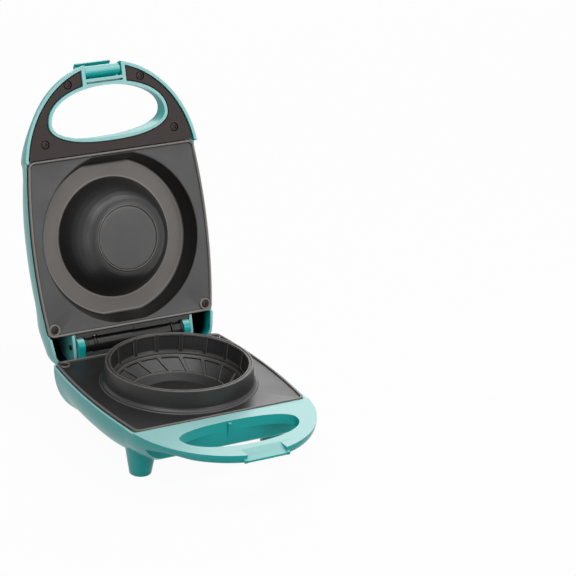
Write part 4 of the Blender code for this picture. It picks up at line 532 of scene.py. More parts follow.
def glass_laminate():
    """Epoxy glass board: green, with the weave of its 0.5 mm yarns under the lacquer."""
    made, tree, shader, place = start_material("glass_laminate", Roughness=0.35, IOR=1.55)
    warp, weft = [add_node(tree, "ShaderNodeTexWave", {"Vector": place, "Scale": 1 / (3 * MM)},
                           bands_direction=way).outputs["Fac"] for way in "XY"]
    weave = calculate(tree, "MULTIPLY", warp, weft)
    feed(tree, shader, Base_Color=blend(tree, weave, linear("#2F6B3A"), linear("#4A8A55")))
    return made


# ---------------------------------------------------------------- outlines and solids

def smooth_step(low, high, value):
    share = min(1.0, max(0.0, (value - low) / (high - low)))
    return share * share * (3 - 2 * share)


def barrel_x(y, grow):
    """Half width at y of the plates' bowed sides, moved out by grow."""
    share = (y - PLATE_SHIFT) / (PLATE_LENGTH / 2)
    return PLATE_MID_WIDTH / 2 + grow - (PLATE_MID_WIDTH - PLATE_END_WIDTH) / 2 * share * share


def arc(x, y, radius, start, end, steps=10):
    angles = [math.radians(start + (end - start) * i / steps) for i in range(steps + 1)]
    return [(x + radius * math.cos(a), y + radius * math.sin(a)) for a in angles]


def side(front, rear, grow, steps=28):
    return [(barrel_x(y, grow), y) for y in (front + (rear - front) * i / steps for i in range(steps + 1))]


def barrel_half(front, rear, grow, radius):
    """Right half of a bowed rectangle, from its front edge to its rear edge."""
    return (arc(barrel_x(front + radius, grow) - radius, front + radius, radius, -90, 0)
            + side(front + radius, rear - radius, grow)[1:-1]
            + arc(barrel_x(rear - radius, grow) - radius, rear - radius, radius, 0, 90))


def handle_half(grow, steps=48):
    """Right half of the D-shaped handle, from its front point to where the sides begin."""
    width = barrel_x(HANDLE_ROOT, grow)
    reach = HANDLE_REACH + grow - BORDER
    angles = [math.pi / 2 * i / steps for i in range(steps + 1)]
    points = [(width * math.sin(a), HANDLE_ROOT - reach * math.cos(a)) for a in angles]
    return [(0.0, points[0][1])] + points[1:]


def housing_half(rear, grow):
    radius = HULL_CORNER + grow
    corner = arc(barrel_x(rear + grow - radius, BORDER + grow) - radius, rear + grow - radius, radius, 0, 90)
    return handle_half(BORDER + grow) + side(HANDLE_ROOT, rear + grow - radius, BORDER + grow)[1:-1] + corner


def full(half):
    """Whole outline from its right half, which may start or end on the middle line."""
    return list(half) + [(-x, y) for x, y in reversed(half) if x > 0.0]


def hole_outline(grow, steps=96):
    """Finger hole through both handles: flatter towards the plate, an arch in front."""
    points = []
    for i in range(steps):
        across, along = math.cos(TAU * i / steps), math.sin(TAU * i / steps)
        power = HOLE_REAR_POWER if along > 0.0 else HOLE_FRONT_POWER
        reach = (HOLE_REAR - HOLE_MIDDLE if along > 0.0 else HOLE_MIDDLE - HOLE_FRONT) + grow
        points.append(((HOLE_WIDTH / 2 + grow) * math.copysign(abs(across) ** (2 / power), across),
                       HOLE_MIDDLE + reach * math.copysign(abs(along) ** (2 / power), along)))
    return points


def crown_depth(y, depth):
    """Depth of a housing along its length: flat in the middle, less towards both ends."""
    away = max(0.0, abs(y - PLATE_SHIFT - PLATE_LENGTH * CROWN_MIDDLE_SHARE)
               - PLATE_LENGTH * CROWN_FLAT_SHARE)
    body = depth * (1 - CROWN_SHARE * (away / (PLATE_LENGTH * CROWN_RUN_SHARE)) ** 2)
    rise = smooth_step(HOLE_FRONT + HANDLE_RISE_SHARE * HOLE_LENGTH, PLATE_FRONT, y)
    return HANDLE_DEPTH + (body - HANDLE_DEPTH) * rise


def hull_reach(y):
    """How far in the rounded side runs before the outside is flat."""
    front = smooth_step(HOLE_FRONT, PLATE_FRONT * (1 - CROWN_SHARE), y)
    rear = smooth_step(PLATE_REAR * (1 - 2 * CROWN_SHARE), PLATE_REAR, y)
    body = HULL_REACH + (HULL_REAR_REACH - HULL_REACH) * rear
    return HULL_FRONT_REACH + (body - HULL_FRONT_REACH) * front


def linked(name, data):
    """A new object with that data, in the scene."""
    made = bpy.data.objects.new(name, data)
    bpy.context.scene.collection.objects.link(made)
    return made


def object_from(name, bm):
    bmesh.ops.remove_doubles(bm, verts=bm.verts, dist=0.001 * MM)
    bmesh.ops.recalc_face_normals(bm, faces=bm.faces)
    mesh = bpy.data.meshes.new(name)
    bm.to_mesh(mesh)
    bm.free()
    return linked(name, mesh)


def loft(name, rings, loop=False, caps=True):
    """A mesh through rings of points; a ring of one point is a pole."""
    bm = bmesh.new()
    rows = [[bm.verts.new(point) for point in ring] for ring in rings]
    pairs = list(zip(rows, rows[1:])) + ([(rows[-1], rows[0])] if loop else [])
    for low, high in pairs:
        count = max(len(low), len(high))
        for i in range(count):
            j = (i + 1) % count
            corners = [low[i % len(low)], low[j % len(low)], high[j % len(high)], high[i % len(high)]]
            bm.faces.new(list(dict.fromkeys(corners)))
    if caps and not loop:
        for row in (rows[0], rows[-1]):
            if len(row) > 2:
                bm.faces.new(row)
    return object_from(name, bm)


def prism_z(name, outline, bottom, top):
    return loft(name, [[(x, y, z) for x, y in outline] for z in (bottom, top)])


def prism_x(name, profile, left, right):
    return loft(name, [[(x, y, z) for y, z in profile] for x in (left, right)])


def block(name, low, high):
    return prism_z(name, [(low[0], low[1]), (high[0], low[1]), (high[0], high[1]), (low[0], high[1])],
                   low[2], high[2])


def turned(name, profile, steps=64, centre=(0.0, 0.0, 0.0), axis="Z"):
    """A solid of revolution from (radius, height) points."""
    rings = []
    for radius, height in profile:
        angles = [TAU * i / steps for i in range(steps)] if radius > 0.0 else [0.0]
        ring = []
        for a in angles:
            x, y, z = radius * math.cos(a), radius * math.sin(a), height
            ring.append(Vector({"X": (z, x, y), "Y": (x, z, y), "Z": (x, y, z)}[axis]) + Vector(centre))
        rings.append(ring)
    return loft(name, rings)


def cylinder(name, radius, low, high, centre=(0.0, 0.0, 0.0), axis="Z", steps=48):
    return turned(name, [(0.0, low), (radius, low), (radius, high), (0.0, high)], steps, centre, axis)


def combine(target, tool, operation):
    modifier = target.modifiers.new(operation, "BOOLEAN")
    modifier.operation = operation
    modifier.solver = "EXACT"
    modifier.object = tool
    graph = bpy.context.evaluated_depsgraph_get()
    mesh = bpy.data.meshes.new_from_object(target.evaluated_get(graph))
    target.modifiers.remove(modifier)
    target.data = mesh
    bpy.data.objects.remove(tool, do_unlink=True)
    return target


def cut(target, tool):
    return combine(target, tool, "DIFFERENCE")


def join(target, tool):
    return combine(target, tool, "UNION")


def common(target, tool):
    return combine(target, tool, "INTERSECT")


def hull(name, half, direction, depth, wall, seam, open_to, front_share=1.0, steps=20):
    """Moulded form that rounds in from an outline, below (-1) or above (+1) the parting plane."""
    width = max(x for x, y in half)
    front = -min(y for x, y in half)
    rear = max(y for x, y in half)
    rings = [[(x, y, open_to) for x, y in half]]
    for step in range(steps + 1):
        angle = math.pi / 2 * step / steps
        inward = 1 - max(0.0, math.cos(angle)) ** (2 / HULL_POWER)
        down = math.sin(angle) ** (2 / HULL_POWER)
        ring = []
        for x, y in half:
            inset = hull_reach(y) * inward
            new_y = y * (1 - inset * (front_share / front if y < 0.0 else 1 / rear))
            local = crown_depth(new_y, depth) - wall
            ring.append((x * (1 - inset / width), new_y, direction * (seam + (local - seam) * down)))
        rings.append(ring)
    bm = bmesh.new()
    rows = []
    for ring in rings:
        right = [bm.verts.new(point) for point in ring]
        left = [v if v.co.x == 0.0 else bm.verts.new((-v.co.x, v.co.y, v.co.z)) for v in right]
        rows.append((right, left))
    for (right_a, left_a), (right_b, left_b) in zip(rows, rows[1:]):
        for i in range(len(half) - 1):
            bm.faces.new((right_a[i], right_a[i + 1], right_b[i + 1], right_b[i]))
            bm.faces.new((left_a[i], left_b[i], left_b[i + 1], left_a[i + 1]))
        for i in (0, -1):
            if right_a[i] is not left_a[i]:
                bm.faces.new((right_a[i], right_b[i], left_b[i], left_a[i]))
    for right, left in (rows[0], rows[-1]):
        for i in range(len(half) - 1):
            bm.faces.new(list(dict.fromkeys([right[i], right[i + 1], left[i + 1], left[i]])))
    return object_from(name, bm)


# ---------------------------------------------------------------- placing pieces

def body_matrix(body):
    """Where a body's pieces go, from the closed frame that they are drawn in."""
    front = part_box("lower_plate")[0].y - PLATE_FRONT
    base = Matrix.Translation((0.0, front, FLOOR_DROP))
    if body == "base":
        return base
    home = Vector(HINGE_LINE)
    lid = (Matrix.Translation(base @ home) @ Matrix.Rotation(LID_ANGLE, 4, "X") @ Matrix.Translation(-home))
    if body == "lid":
        return lid
    home = Vector((0.0, LATCH_Y, LATCH_Z))
    return lid @ Matrix.Translation(home) @ Matrix.Rotation(LATCH_ANGLE, 4, "X") @ Matrix.Translation(-home)


def mark_edges(piece, share):
    """Keep at each point how far the surface stands out there (up to share) or folds in (down to -1): what
    stands out gets wear and a painted highlight, folds get painted shade.
    """
    bm = bmesh.new()
    bm.from_mesh(piece.data)
    layer = bm.verts.layers.float.new("edge")
    for vert in bm.verts:
        bends = sorted((edge.calc_face_angle_signed(0.0) for edge in vert.link_edges), key=abs)[-2:]
        bend = sum(bends) / 2
        vert[layer] = smooth_step(EDGE_MARK_BEND / 3, EDGE_MARK_BEND, abs(bend)) * (share if bend > 0.0 else -1.0)
    bm.to_mesh(piece.data)
    bm.free()
    return piece


def pocket_size(share):
    """Radius and straight end of the pocket's outline: share 0 is its floor's edge and 1 its mouth."""
    return (POCKET_FLOOR_RADIUS + (POCKET_RADIUS - POCKET_FLOOR_RADIUS) * share,
            POCKET_FLOOR_END + (POCKET_END - POCKET_FLOOR_END) * share)


def in_pocket(point, share):
    """Whether a point lies inside the pocket's outline of that share."""
    radius, end = pocket_size(share)
    return point.xy.length < radius and abs(point.y - math.copysign(PLATE_SHIFT, point.y)) < end


def mark_pocket(piece):
    """Keep the pocket's rubbed floor and its borders, worn with a painted highlight, and paint shade into the
    pocket's mouth.
    """
    rubbed = piece.data.attributes.new("rubbed", "FLOAT", "POINT")
    edge = piece.data.attributes["edge"]
    for vert, floor, bend in zip(piece.data.vertices, rubbed.data, edge.data):
        reach = vert.co.xy.length
        near_mouth = abs(vert.co.z - UPPER_FACE - MOUTH_HEIGHT) < MOUTH_BAND
        if abs(vert.co.z - POCKET_ROOF) < 0.05 * MM and reach > DOME_RADIUS - 0.1 * MM:
            floor.value = 1.0 if reach > DOME_RADIUS + 0.5 * MM else 0.5
            plain = reach > DOME_RADIUS + DOME_BORDER and in_pocket(vert.co, RUBBED_SHARE)
            bend.value = 0.0 if plain else BORDER_WEAR_AND_HIGHLIGHT
        elif near_mouth and reach > POCKET_FLOOR_END and in_pocket(vert.co, MOUTH_SHARE):
            bend.value = MOUTH_PAINTED_SHADE
    return piece


def finish_piece(piece, body, finish, replaced=(), edge=0.0, sharp=30.0):
    """Place a piece on its body, round its edges, give it its finish and let it stand for its CAD nodes."""
    bm = bmesh.new()
    bm.from_mesh(piece.data)
    bmesh.ops.remove_doubles(bm, verts=bm.verts, dist=0.002 * MM)
    bm.to_mesh(piece.data)
    bm.free()
    piece.data.transform(body_matrix(body))
    piece.data.materials.clear()
    piece.data.materials.append(finish)
    piece.data.shade_smooth()
    if edge > 0.0:
        bevel = piece.modifiers.new("rounded_edges", "BEVEL")
        bevel.width = edge
        bevel.segments = 2
        bevel.limit_method = "ANGLE"
        bevel.angle_limit = BEVEL_BEND
        bevel.miter_outer = "MITER_ARC"
        weighted = piece.modifiers.new("even_shading", "WEIGHTED_NORMAL")
        weighted.keep_sharp = True
    else:
        piece.data.set_sharp_from_angle(angle=math.radians(sharp))
    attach(piece, body)
    if replaced:
        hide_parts(*replaced)
    return piece


def dress_node(node, finish):
    """Give a CAD node that stays in view its finish."""
    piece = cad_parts[node]
    piece.data.materials.clear()
    piece.data.materials.append(finish)
    return piece


# ---------------------------------------------------------------- baking plates

def along_rays(outline, angles):
    """Where rays from the bowl's axis meet a closed outline."""
    marks = sorted((math.atan2(y, x) % TAU, x, y) for x, y in outline)
    keys = [mark[0] for mark in marks]
    found = []
    for angle in angles:
        dx, dy = math.cos(angle), math.sin(angle)
        i = bisect_right(keys, angle % TAU)
        a, b = marks[i - 1], marks[i % len(marks)]
        share = (a[1] * dy - a[2] * dx) / ((a[1] - b[1]) * dy - (a[2] - b[2]) * dx)
        found.append((a[1] + (b[1] - a[1]) * share, a[2] + (b[2] - a[2]) * share))
    return found


def circle(radius, angles):
    return [(radius * math.cos(a), radius * math.sin(a)) for a in angles]


def clipped_circle(radius, end, angles):
    """Circle cut straight at the plate's front and rear."""
    points = []
    for a in angles:
        x, y = radius * math.cos(a), radius * math.sin(a)
        limit = end + math.copysign(PLATE_SHIFT, y)
        share = min(1.0, limit / abs(y)) if y else 1.0
        points.append((x * share, y * share))
    return points


def flange_rows(angles, face, direction):
    """Rows across the plate's raised edge bead, from the face outwards and round to the back."""
    rows = []
    for step, rise in BEAD_SECTION:
        inset = step * MM
        outline = full(barrel_half(PLATE_FRONT + inset, PLATE_REAR - inset, -inset, PLATE_CORNER - inset))
        rows.append([(x, y, face + direction * BEAD_HEIGHT * rise) for x, y in along_rays(outline, angles)])
    return rows


def flange_shell(name, angles, face, direction, inner):
    """Closed ring round the middle of a plate, with the bosses and wells of its two screws."""
    back = face - direction * PLATE_THICKNESS
    rows = [[(x, y, face) for x, y in inner]] + flange_rows(angles, face, direction)
    rows.append([(x, y, back) for x, y, z in rows[-1]])
    rows.append([(x, y, back) for x, y in inner])
    shell = loft(name, rows, loop=True)
    proud = face + direction * (BEAD_HEIGHT - BOSS_SINK)
    rise = direction * BOSS_EDGE
    wide, well = BOSS_RADIUS + BOSS_EDGE, SCREW_HEAD + TOUCH
    root, seat = face - direction * PLATE_THICKNESS / 2, face - direction * SCREW_SINK
    over = proud + direction * OVER
    boss = [(0.0, root), (wide, root), (wide, face), (BOSS_RADIUS, face + rise), (BOSS_RADIUS, proud - rise),
            (BOSS_RADIUS - BOSS_EDGE, proud), (0.0, proud)]
    hole = [(0.0, seat), (well, seat), (well, proud - rise), (well + BOSS_EDGE, proud),
            (well + BOSS_EDGE, over), (0.0, over)]
    for x in (-PLATE_SCREW_X, PLATE_SCREW_X):
        join(shell, turned("boss", boss, 40, (x, PLATE_SCREW_Y, 0.0)))
        cut(shell, turned("well", hole, 40, (x, PLATE_SCREW_Y, 0.0)))
    return shell


def join_shells(name, shells, inner):
    """Open the shells' shared inner wall and weld them into one mesh."""
    bm = bmesh.new()
    for shell in shells:
        bm.from_mesh(shell.data)
        bpy.data.objects.remove(shell, do_unlink=True)
    def mark(point):
        return round(point[0] / MM, 2), round(point[1] / MM, 2)

    marks = {mark(point) for point in inner}
    wall = [f for f in bm.faces if abs(f.normal.z) < 0.5 and all(mark(v.co) in marks for v in f.verts)]
    bmesh.ops.delete(bm, geom=wall, context="FACES")
    bmesh.ops.remove_doubles(bm, verts=bm.verts, dist=0.006 * MM)
    return object_from(name, bm)


def rounded(points, radius, steps=4):
    """A profile with each inner corner replaced by a short curve."""
    made = [points[0]]
    for before, here, after in zip(points, points[1:], points[2:]):
        a, b, c = Vector(before), Vector(here), Vector(after)
        reach = min(radius, (a - b).length * 0.45, (c - b).length * 0.45)
        start, end = b + (a - b).normalized() * reach, b + (c - b).normalized() * reach
        for i in range(steps + 1):
            t = i / steps
            made.append(tuple(start * (1 - t) ** 2 + b * (2 * t * (1 - t)) + end * t * t))
    return made + [points[-1]]


def resampled(points, spacing):
    """The same profile with no step longer than spacing."""
    made = [points[0]]
    for a, b in zip(points, points[1:]):
        count = max(1, math.ceil((Vector(b) - Vector(a)).length / spacing))
        made += [tuple(Vector(a).lerp(Vector(b), i / count)) for i in range(1, count + 1)]
    return made


def bowl_profile():
    """From the bowl's floor up its two tiers, over the collar's rim and down its outside to the plate."""
    ledge_inner = RIM_RADIUS - LEDGE_WIDTH - 2.2 * MM
    foot = COLLAR_RADIUS + COLLAR_DRAFT
    steps = [(0.0, BOWL_FLOOR), (BOWL_FLOOR_RADIUS, BOWL_FLOOR),
             (BOWL_FLOOR_RADIUS * BAND_SHARE, TIER_FOOT_Z)]
    for edge, height, parts in (
            (ledge_inner, LEDGE_Z, ((-0.6, -1.8), (0.2, -0.7))),
            (RIM_RADIUS, LEDGE_Z, ((-1.9, 0.0),)),
            (RIM_RADIUS, COLLAR_HEIGHT, ((0.0, 0.0), (0.8, 0.0), (1.2, -0.5), (1.9, -0.5), (2.3, 0.0))),
            (COLLAR_RADIUS, COLLAR_HEIGHT, ((0.0, 0.0),)),
            (foot, LOWER_FACE, ((-0.2, 2.6),)),
            (foot + COLLAR_FLARE * 0.45, LOWER_FACE, ((0.0, 1.0),)),
            (foot + COLLAR_FLARE * 0.9, LOWER_FACE, ((0.0, 0.55),)),
            (foot + COLLAR_FLARE, LOWER_FACE, ((0.0, 0.0), (0.8, 0.0)))):
        steps += [(edge + out * MM, height + up * MM) for out, up in parts]
    return resampled(rounded(steps, PROFILE_ROUNDING), PROFILE_STEP)


def tier_band(foot, top, come, go, height):
    """Share of a panel's depth at a height of its tier: none at the tier's foot and top."""
    return (smooth_step(foot + come[0] * MM, foot + come[1] * MM, height)
            * (1 - smooth_step(top - go[0] * MM, top - go[1] * MM, height)))


def panel_sector(settings):
    """One panel's share of the bowl and collar, from the middle of one rib to the middle of the next."""
    profile = bowl_profile()
    pitch = TAU / settings.panel_count
    rib = settings.rib_width / RIM_RADIUS / 2
    soft = PANEL_SOFT / RIM_RADIUS
    columns = [0.0, rib * 0.5, rib * 0.85] + [rib + soft * share for share in (0.0, 0.25, 0.5, 0.75, 1.0)]
    start = rib + soft * 1.4
    columns += [start + (pitch / 2 - start) * i / 7 for i in range(8)]
    columns += [pitch - c for c in reversed(columns[:-1])]
    swirl_top = LEDGE_Z - SWIRL_START
    bm = bmesh.new()
    grid = []
    for i, (radius, height) in enumerate(profile):
        before, after = profile[max(0, i - 1)], profile[min(len(profile) - 1, i + 1)]
        along = (Vector(after) - Vector(before)).normalized()
        upper = tier_band(LEDGE_Z, COLLAR_HEIGHT, *UPPER_BAND, height)
        lower = tier_band(TIER_FOOT_Z, LEDGE_Z, *LOWER_BAND, height)
        share = min(1.0, max(0.0, (swirl_top - height) / (swirl_top - TIER_FOOT_Z)))
        inner = radius < RIM_RADIUS + 0.1 * MM
        turn = PANEL_SWIRL * share ** SWIRL_POWER if inner else 0.0
        band = upper + lower * LOWER_DEPTH_SHARE if inner else 0.0
        row = []
        for column in columns:
            deep = settings.recess * band * smooth_step(rib, rib + soft, min(column, pitch - column))
            r, angle = radius + along.y * deep, column + turn
            row.append(bm.verts.new((r * math.cos(angle), r * math.sin(angle), height - along.x * deep)))
        grid.append(row)
    for low, high in zip(grid, grid[1:]):
        for i in range(len(columns) - 1):
            near = [low[0]] if low is grid[0] else [low[i], low[i + 1]]
            bm.faces.new([*near, high[i + 1], high[i]])
    for vert in grid[0][1:]:
        bm.verts.remove(vert)
    mesh = bpy.data.meshes.new("panel_sector")
    bm.to_mesh(mesh)
    bm.free()
    return linked("panel_sector", mesh), columns


def start_tree(name, inputs):
    """A tree that takes and gives a mesh, the keys of its other inputs and all that it is given."""
    tree = bpy.data.node_groups.new(name, "GeometryNodeTree")
    for way in ("INPUT", "OUTPUT"):
        tree.interface.new_socket(name="Geometry", in_out=way, socket_type="NodeSocketGeometry")
    keys = {}
    for key, (label, kind, *values) in inputs.items():
        made = tree.interface.new_socket(name=label, in_out="INPUT", socket_type="NodeSocket" + kind)
        for setting, value in zip(("default_value", "min_value"), values):
            setattr(made, setting, value)
        keys[key] = made.identifier
    return tree, keys, add_node(tree, "NodeGroupInput").outputs


def end_tree(tree, geometry, finish):
    painted = add_node(tree, "GeometryNodeSetMaterial", {"Geometry": geometry, "Material": finish})
    add_node(tree, "NodeGroupOutput", {"Geometry": painted.outputs[0]})


def turned_copies_tree():
    """Copies of the modified mesh, turned evenly about the vertical axis and welded into one."""
    tree, keys, given = start_tree("turned_copies", {
        "count": ("Copies", "Int", 17, 1), "phase": ("Phase", "Float", 0.0),
        "weld": ("Weld distance", "Float", WELD, 0.0), "finish": ("Finish", "Material")})
    points = add_node(tree, "GeometryNodePoints", {"Count": given["Copies"]})
    index = add_node(tree, "GeometryNodeInputIndex")
    step = calculate(tree, "DIVIDE", TAU, given["Copies"])
    angle = add_node(tree, "ShaderNodeMath", {0: index.outputs[0], 1: step, 2: given["Phase"]},
                     operation="MULTIPLY_ADD")
    turn = add_node(tree, "ShaderNodeCombineXYZ", {"Z": angle.outputs[0]})
    copies = add_node(tree, "GeometryNodeInstanceOnPoints", {
        "Points": points.outputs[0], "Instance": given["Geometry"], "Rotation": turn.outputs[0]})
    whole = add_node(tree, "GeometryNodeRealizeInstances", {"Geometry": copies.outputs[0]})
    welded = add_node(tree, "GeometryNodeMergeByDistance", {"Geometry": whole.outputs[0],
                                                            "Distance": given["Weld distance"]})
    end_tree(tree, welded.outputs[0], given["Finish"])
    return tree, keys


def placed_copies_tree():
    """Copies of one mesh, with its head up or down, at every point of the modified mesh."""
    tree, keys, given = start_tree("placed_copies", {
        "piece": ("Piece", "Object"), "tilt": ("Tilt", "Float", 0.0),
        "spread": ("Turn spread", "Float", math.pi, 0.0), "seed": ("Seed", "Int", 5),
        "finish": ("Finish", "Material")})
    piece = add_node(tree, "GeometryNodeObjectInfo", {"Object": given["Piece"]})
    spin = add_node(tree, "FunctionNodeRandomValue", {3: given["Turn spread"], "Seed": given["Seed"]},
                    data_type="FLOAT")
    turn = add_node(tree, "ShaderNodeCombineXYZ", {"X": given["Tilt"], "Z": spin.outputs[1]})
    copies = add_node(tree, "GeometryNodeInstanceOnPoints", {
        "Points": given["Geometry"], "Instance": piece.outputs["Geometry"], "Rotation": turn.outputs[0]})
    whole = add_node(tree, "GeometryNodeRealizeInstances", {"Geometry": copies.outputs[0]})
    end_tree(tree, whole.outputs[0], given["Finish"])
    return tree, keys


def grown(piece, tree, keys, values):
    """Run a tree on a piece and keep the result as its plain mesh."""
    modifier = piece.modifiers.new(tree.name, "NODES")
    modifier.node_group = tree
    for key, value in values.items():
        modifier[keys[key]] = value
    graph = bpy.context.evaluated_depsgraph_get()
    mesh = bpy.data.meshes.new_from_object(piece.evaluated_get(graph))
    piece.modifiers.remove(modifier)
    piece.data = mesh
    return piece


def make_lower_plate(settings, finish):
    """Lower plate: the bowl's turned panels, the flange round them and the underside."""
    sector, columns = panel_sector(settings)
    tree, keys = turned_copies_tree()
    grown(sector, tree, keys, {"count": settings.panel_count, "phase": PANEL_PHASE, "weld": WELD,
                               "finish": finish})
    pitch = TAU / settings.panel_count
    angles = [PANEL_PHASE + pitch * panel + column for panel in range(settings.panel_count)
              for column in columns[:-1]]
    edge = bowl_profile()[-1][0]
    inner = circle(edge, angles)
    shell = flange_shell("flange", angles, LOWER_FACE, 1, inner)
    under = COLLAR_RADIUS - CASTING_WALL / 2
    low = BOWL_FLOOR - CASTING_WALL
    profile = [(edge, LOWER_BACK), (under, LOWER_BACK),
               (BOWL_FLOOR_RADIUS * BAND_SHARE + CASTING_WALL * 1.2, BOWL_FLOOR + CASTING_WALL * 0.4),
               (BOWL_FLOOR_RADIUS + CASTING_WALL / 2, low)]
    rings = [[(x, y, z) for x, y in circle(r, angles)] for r, z in profile] + [[(0.0, 0.0, low)]]
    underside = loft("underside", rings, caps=False)
    return join_shells("lower_baking_plate", [sector, shell, underside], inner)


def dome_profile(settings):
    """From the middle of the dome's disc over its ring and shoulder, down its side to the pocket's floor."""
    ring, disc = settings.ring_height, DOME_DISC_RADIUS
    points = [(0.0, DOME_TIP)]
    for out, up in ((-1.6, 0.0), (-1.4, ring), (-0.9, ring), (-0.6, -ring), (-0.1, -ring), (0.5, 0.1 * MM),
                    (1.6, 0.2 * MM)):
        points.append((disc + out * MM, DOME_TIP + up))
    for up_share, in_share in DOME_SECTION:
        points.append((DOME_RADIUS + (disc - DOME_RADIUS) * in_share, DOME_TIP + DOME_HEIGHT * up_share))
    return points


def make_upper_plate(settings, finish):
    """Upper plate: the dome in its pocket, the flange round them and the back."""
    angles = [TAU * (i + 0.5) / UPPER_STEPS for i in range(UPPER_STEPS)]
    profile = resampled(rounded(dome_profile(settings), PROFILE_ROUNDING), 2.0 * MM)
    profile += [(DOME_RADIUS + step * MM, POCKET_ROOF) for step in (0.8, 1.6)]
    rings = [[(0.0, 0.0, DOME_TIP)]]
    rings += [[(x, y, z) for x, y in circle(r, angles)] for r, z in profile[1:]]
    for share, down in POCKET_SECTION:
        height = POCKET_ROOF - (POCKET_ROOF - UPPER_FACE) * down
        inner = clipped_circle(pocket_size(share)[0], pocket_size(min(share, POCKET_END_SHARE))[1], angles)
        rings.append([(x, y, height) for x, y in inner])
    top = loft("pocket_and_dome", rings, caps=False)
    shell = flange_shell("flange", angles, UPPER_FACE, -1, inner)
    pan = [(POCKET_RADIUS + CASTING_WALL / 2 - 0.5 * MM, UPPER_BACK + 0.2 * MM),
           (POCKET_FLOOR_RADIUS + CASTING_WALL / 2, POCKET_BACK), (DOME_RADIUS - CASTING_WALL, POCKET_BACK),
           (DOME_DISC_RADIUS, DOME_TIP + CASTING_WALL)]
    rings = [[(x, y, UPPER_BACK) for x, y in inner]]
    rings += [[(x, y, z) for x, y in clipped_circle(r, POCKET_END, angles)] for r, z in pan]
    rings.append([(0.0, 0.0, DOME_TIP + CASTING_WALL)])
    back = loft("back", rings, caps=False)
    return join_shells("upper_baking_plate", [top, shell, back], inner)


# ---------------------------------------------------------------- housings

def handle_channel(name, grow, rear, low, high):
    """Space between a handle's outer wall and the wall round its finger hole."""
    space = prism_z(name, full(housing_half(BASE_REAR, -grow)), low, high)
    return common(space, block("front_only", (-PLATE_MID_WIDTH, HANDLE_FRONT - OVER, min(low, high) - OVER),
                               (PLATE_MID_WIDTH, rear, max(low, high) + OVER)))


def hollow_tool(direction, depth, seam, slim=0.0):
    inner = barrel_half(PLATE_FRONT - PLATE_CLEARANCE, PLATE_REAR + PLATE_CLEARANCE, PLATE_CLEARANCE - slim,
                        PLATE_CORNER + PLATE_CLEARANCE)
    return hull("hollow", inner, direction, depth, WALL, seam, -direction * OVER * 3, 0.3)


def hinge_block():
    """Block behind the plate that carries the ears, the tube and the cord gland."""
    front, rear, top = BASE_REAR - WALL / 2, BASE_REAR + HINGE_BLOCK[1], -HINGE_BLOCK_DROP
    deep = HINGE_BLOCK[2]
    near, far = (rear - HINGE_BLOCK[1] * share for share in BLOCK_TAPER_SHARES)
    profile = [(front, top), (rear - HINGE_BLOCK_DROP, top), (rear, top - HINGE_BLOCK_DROP),
               (rear, top - deep * BLOCK_WALL_SHARE), (near, top - deep * BLOCK_HEEL_SHARE),
               (far, top - deep), (front, top - deep)]
    made = prism_x("hinge_block", profile, -EAR_OUTER, EAR_OUTER)
    foot = top - HINGE_BLOCK_DROP
    ear = [(HINGE_Y - EAR_RADIUS, foot), *arc(HINGE_Y, HINGE_Z, EAR_RADIUS, 180, 0, 24),
           (HINGE_Y + EAR_RADIUS, foot)]
    for sign in (-1, 1):
        join(made, prism_x("ear", ear, *sorted((sign * EAR_INNER, sign * EAR_OUTER))))
    return made


def add_latch_notch(body):
    """Ramp in the handle's front edge, whose thin lip the latch hooks under."""
    half = NOTCH_WIDTH / 2
    front, rear, ahead = NOTCH_FRONT - TOUCH, NOTCH_REAR + NOTCH_LIP, HANDLE_FRONT - OVER
    ramp = [(rear, HANDLE_TOP - NOTCH_LIP / 2), (rear, HANDLE_TOP - NOTCH_LIP * 2), (front, LIP_UNDERSIDE),
            (front, NOTCH_FLOOR + NOTCH_LIP / 2)]
    join(body, prism_x("ramp", ramp, -half - HANDLE_WALL, half + HANDLE_WALL))
    above = [(NOTCH_REAR, HANDLE_TOP), (NOTCH_FRONT, NOTCH_FLOOR), (ahead, NOTCH_FLOOR), (ahead, OVER),
             (NOTCH_REAR, OVER)]
    cut(body, prism_x("notch", above, -half, half))
    cut(body, block("hook_space", (-half, ahead, -BASE_DEPTH),
                    (half, NOTCH_FRONT + HOOK_REACH * 2, LIP_UNDERSIDE)))
    cut(body, block("lip_edge", (-half, ahead, -BASE_DEPTH), (half, NOTCH_FRONT, OVER)))


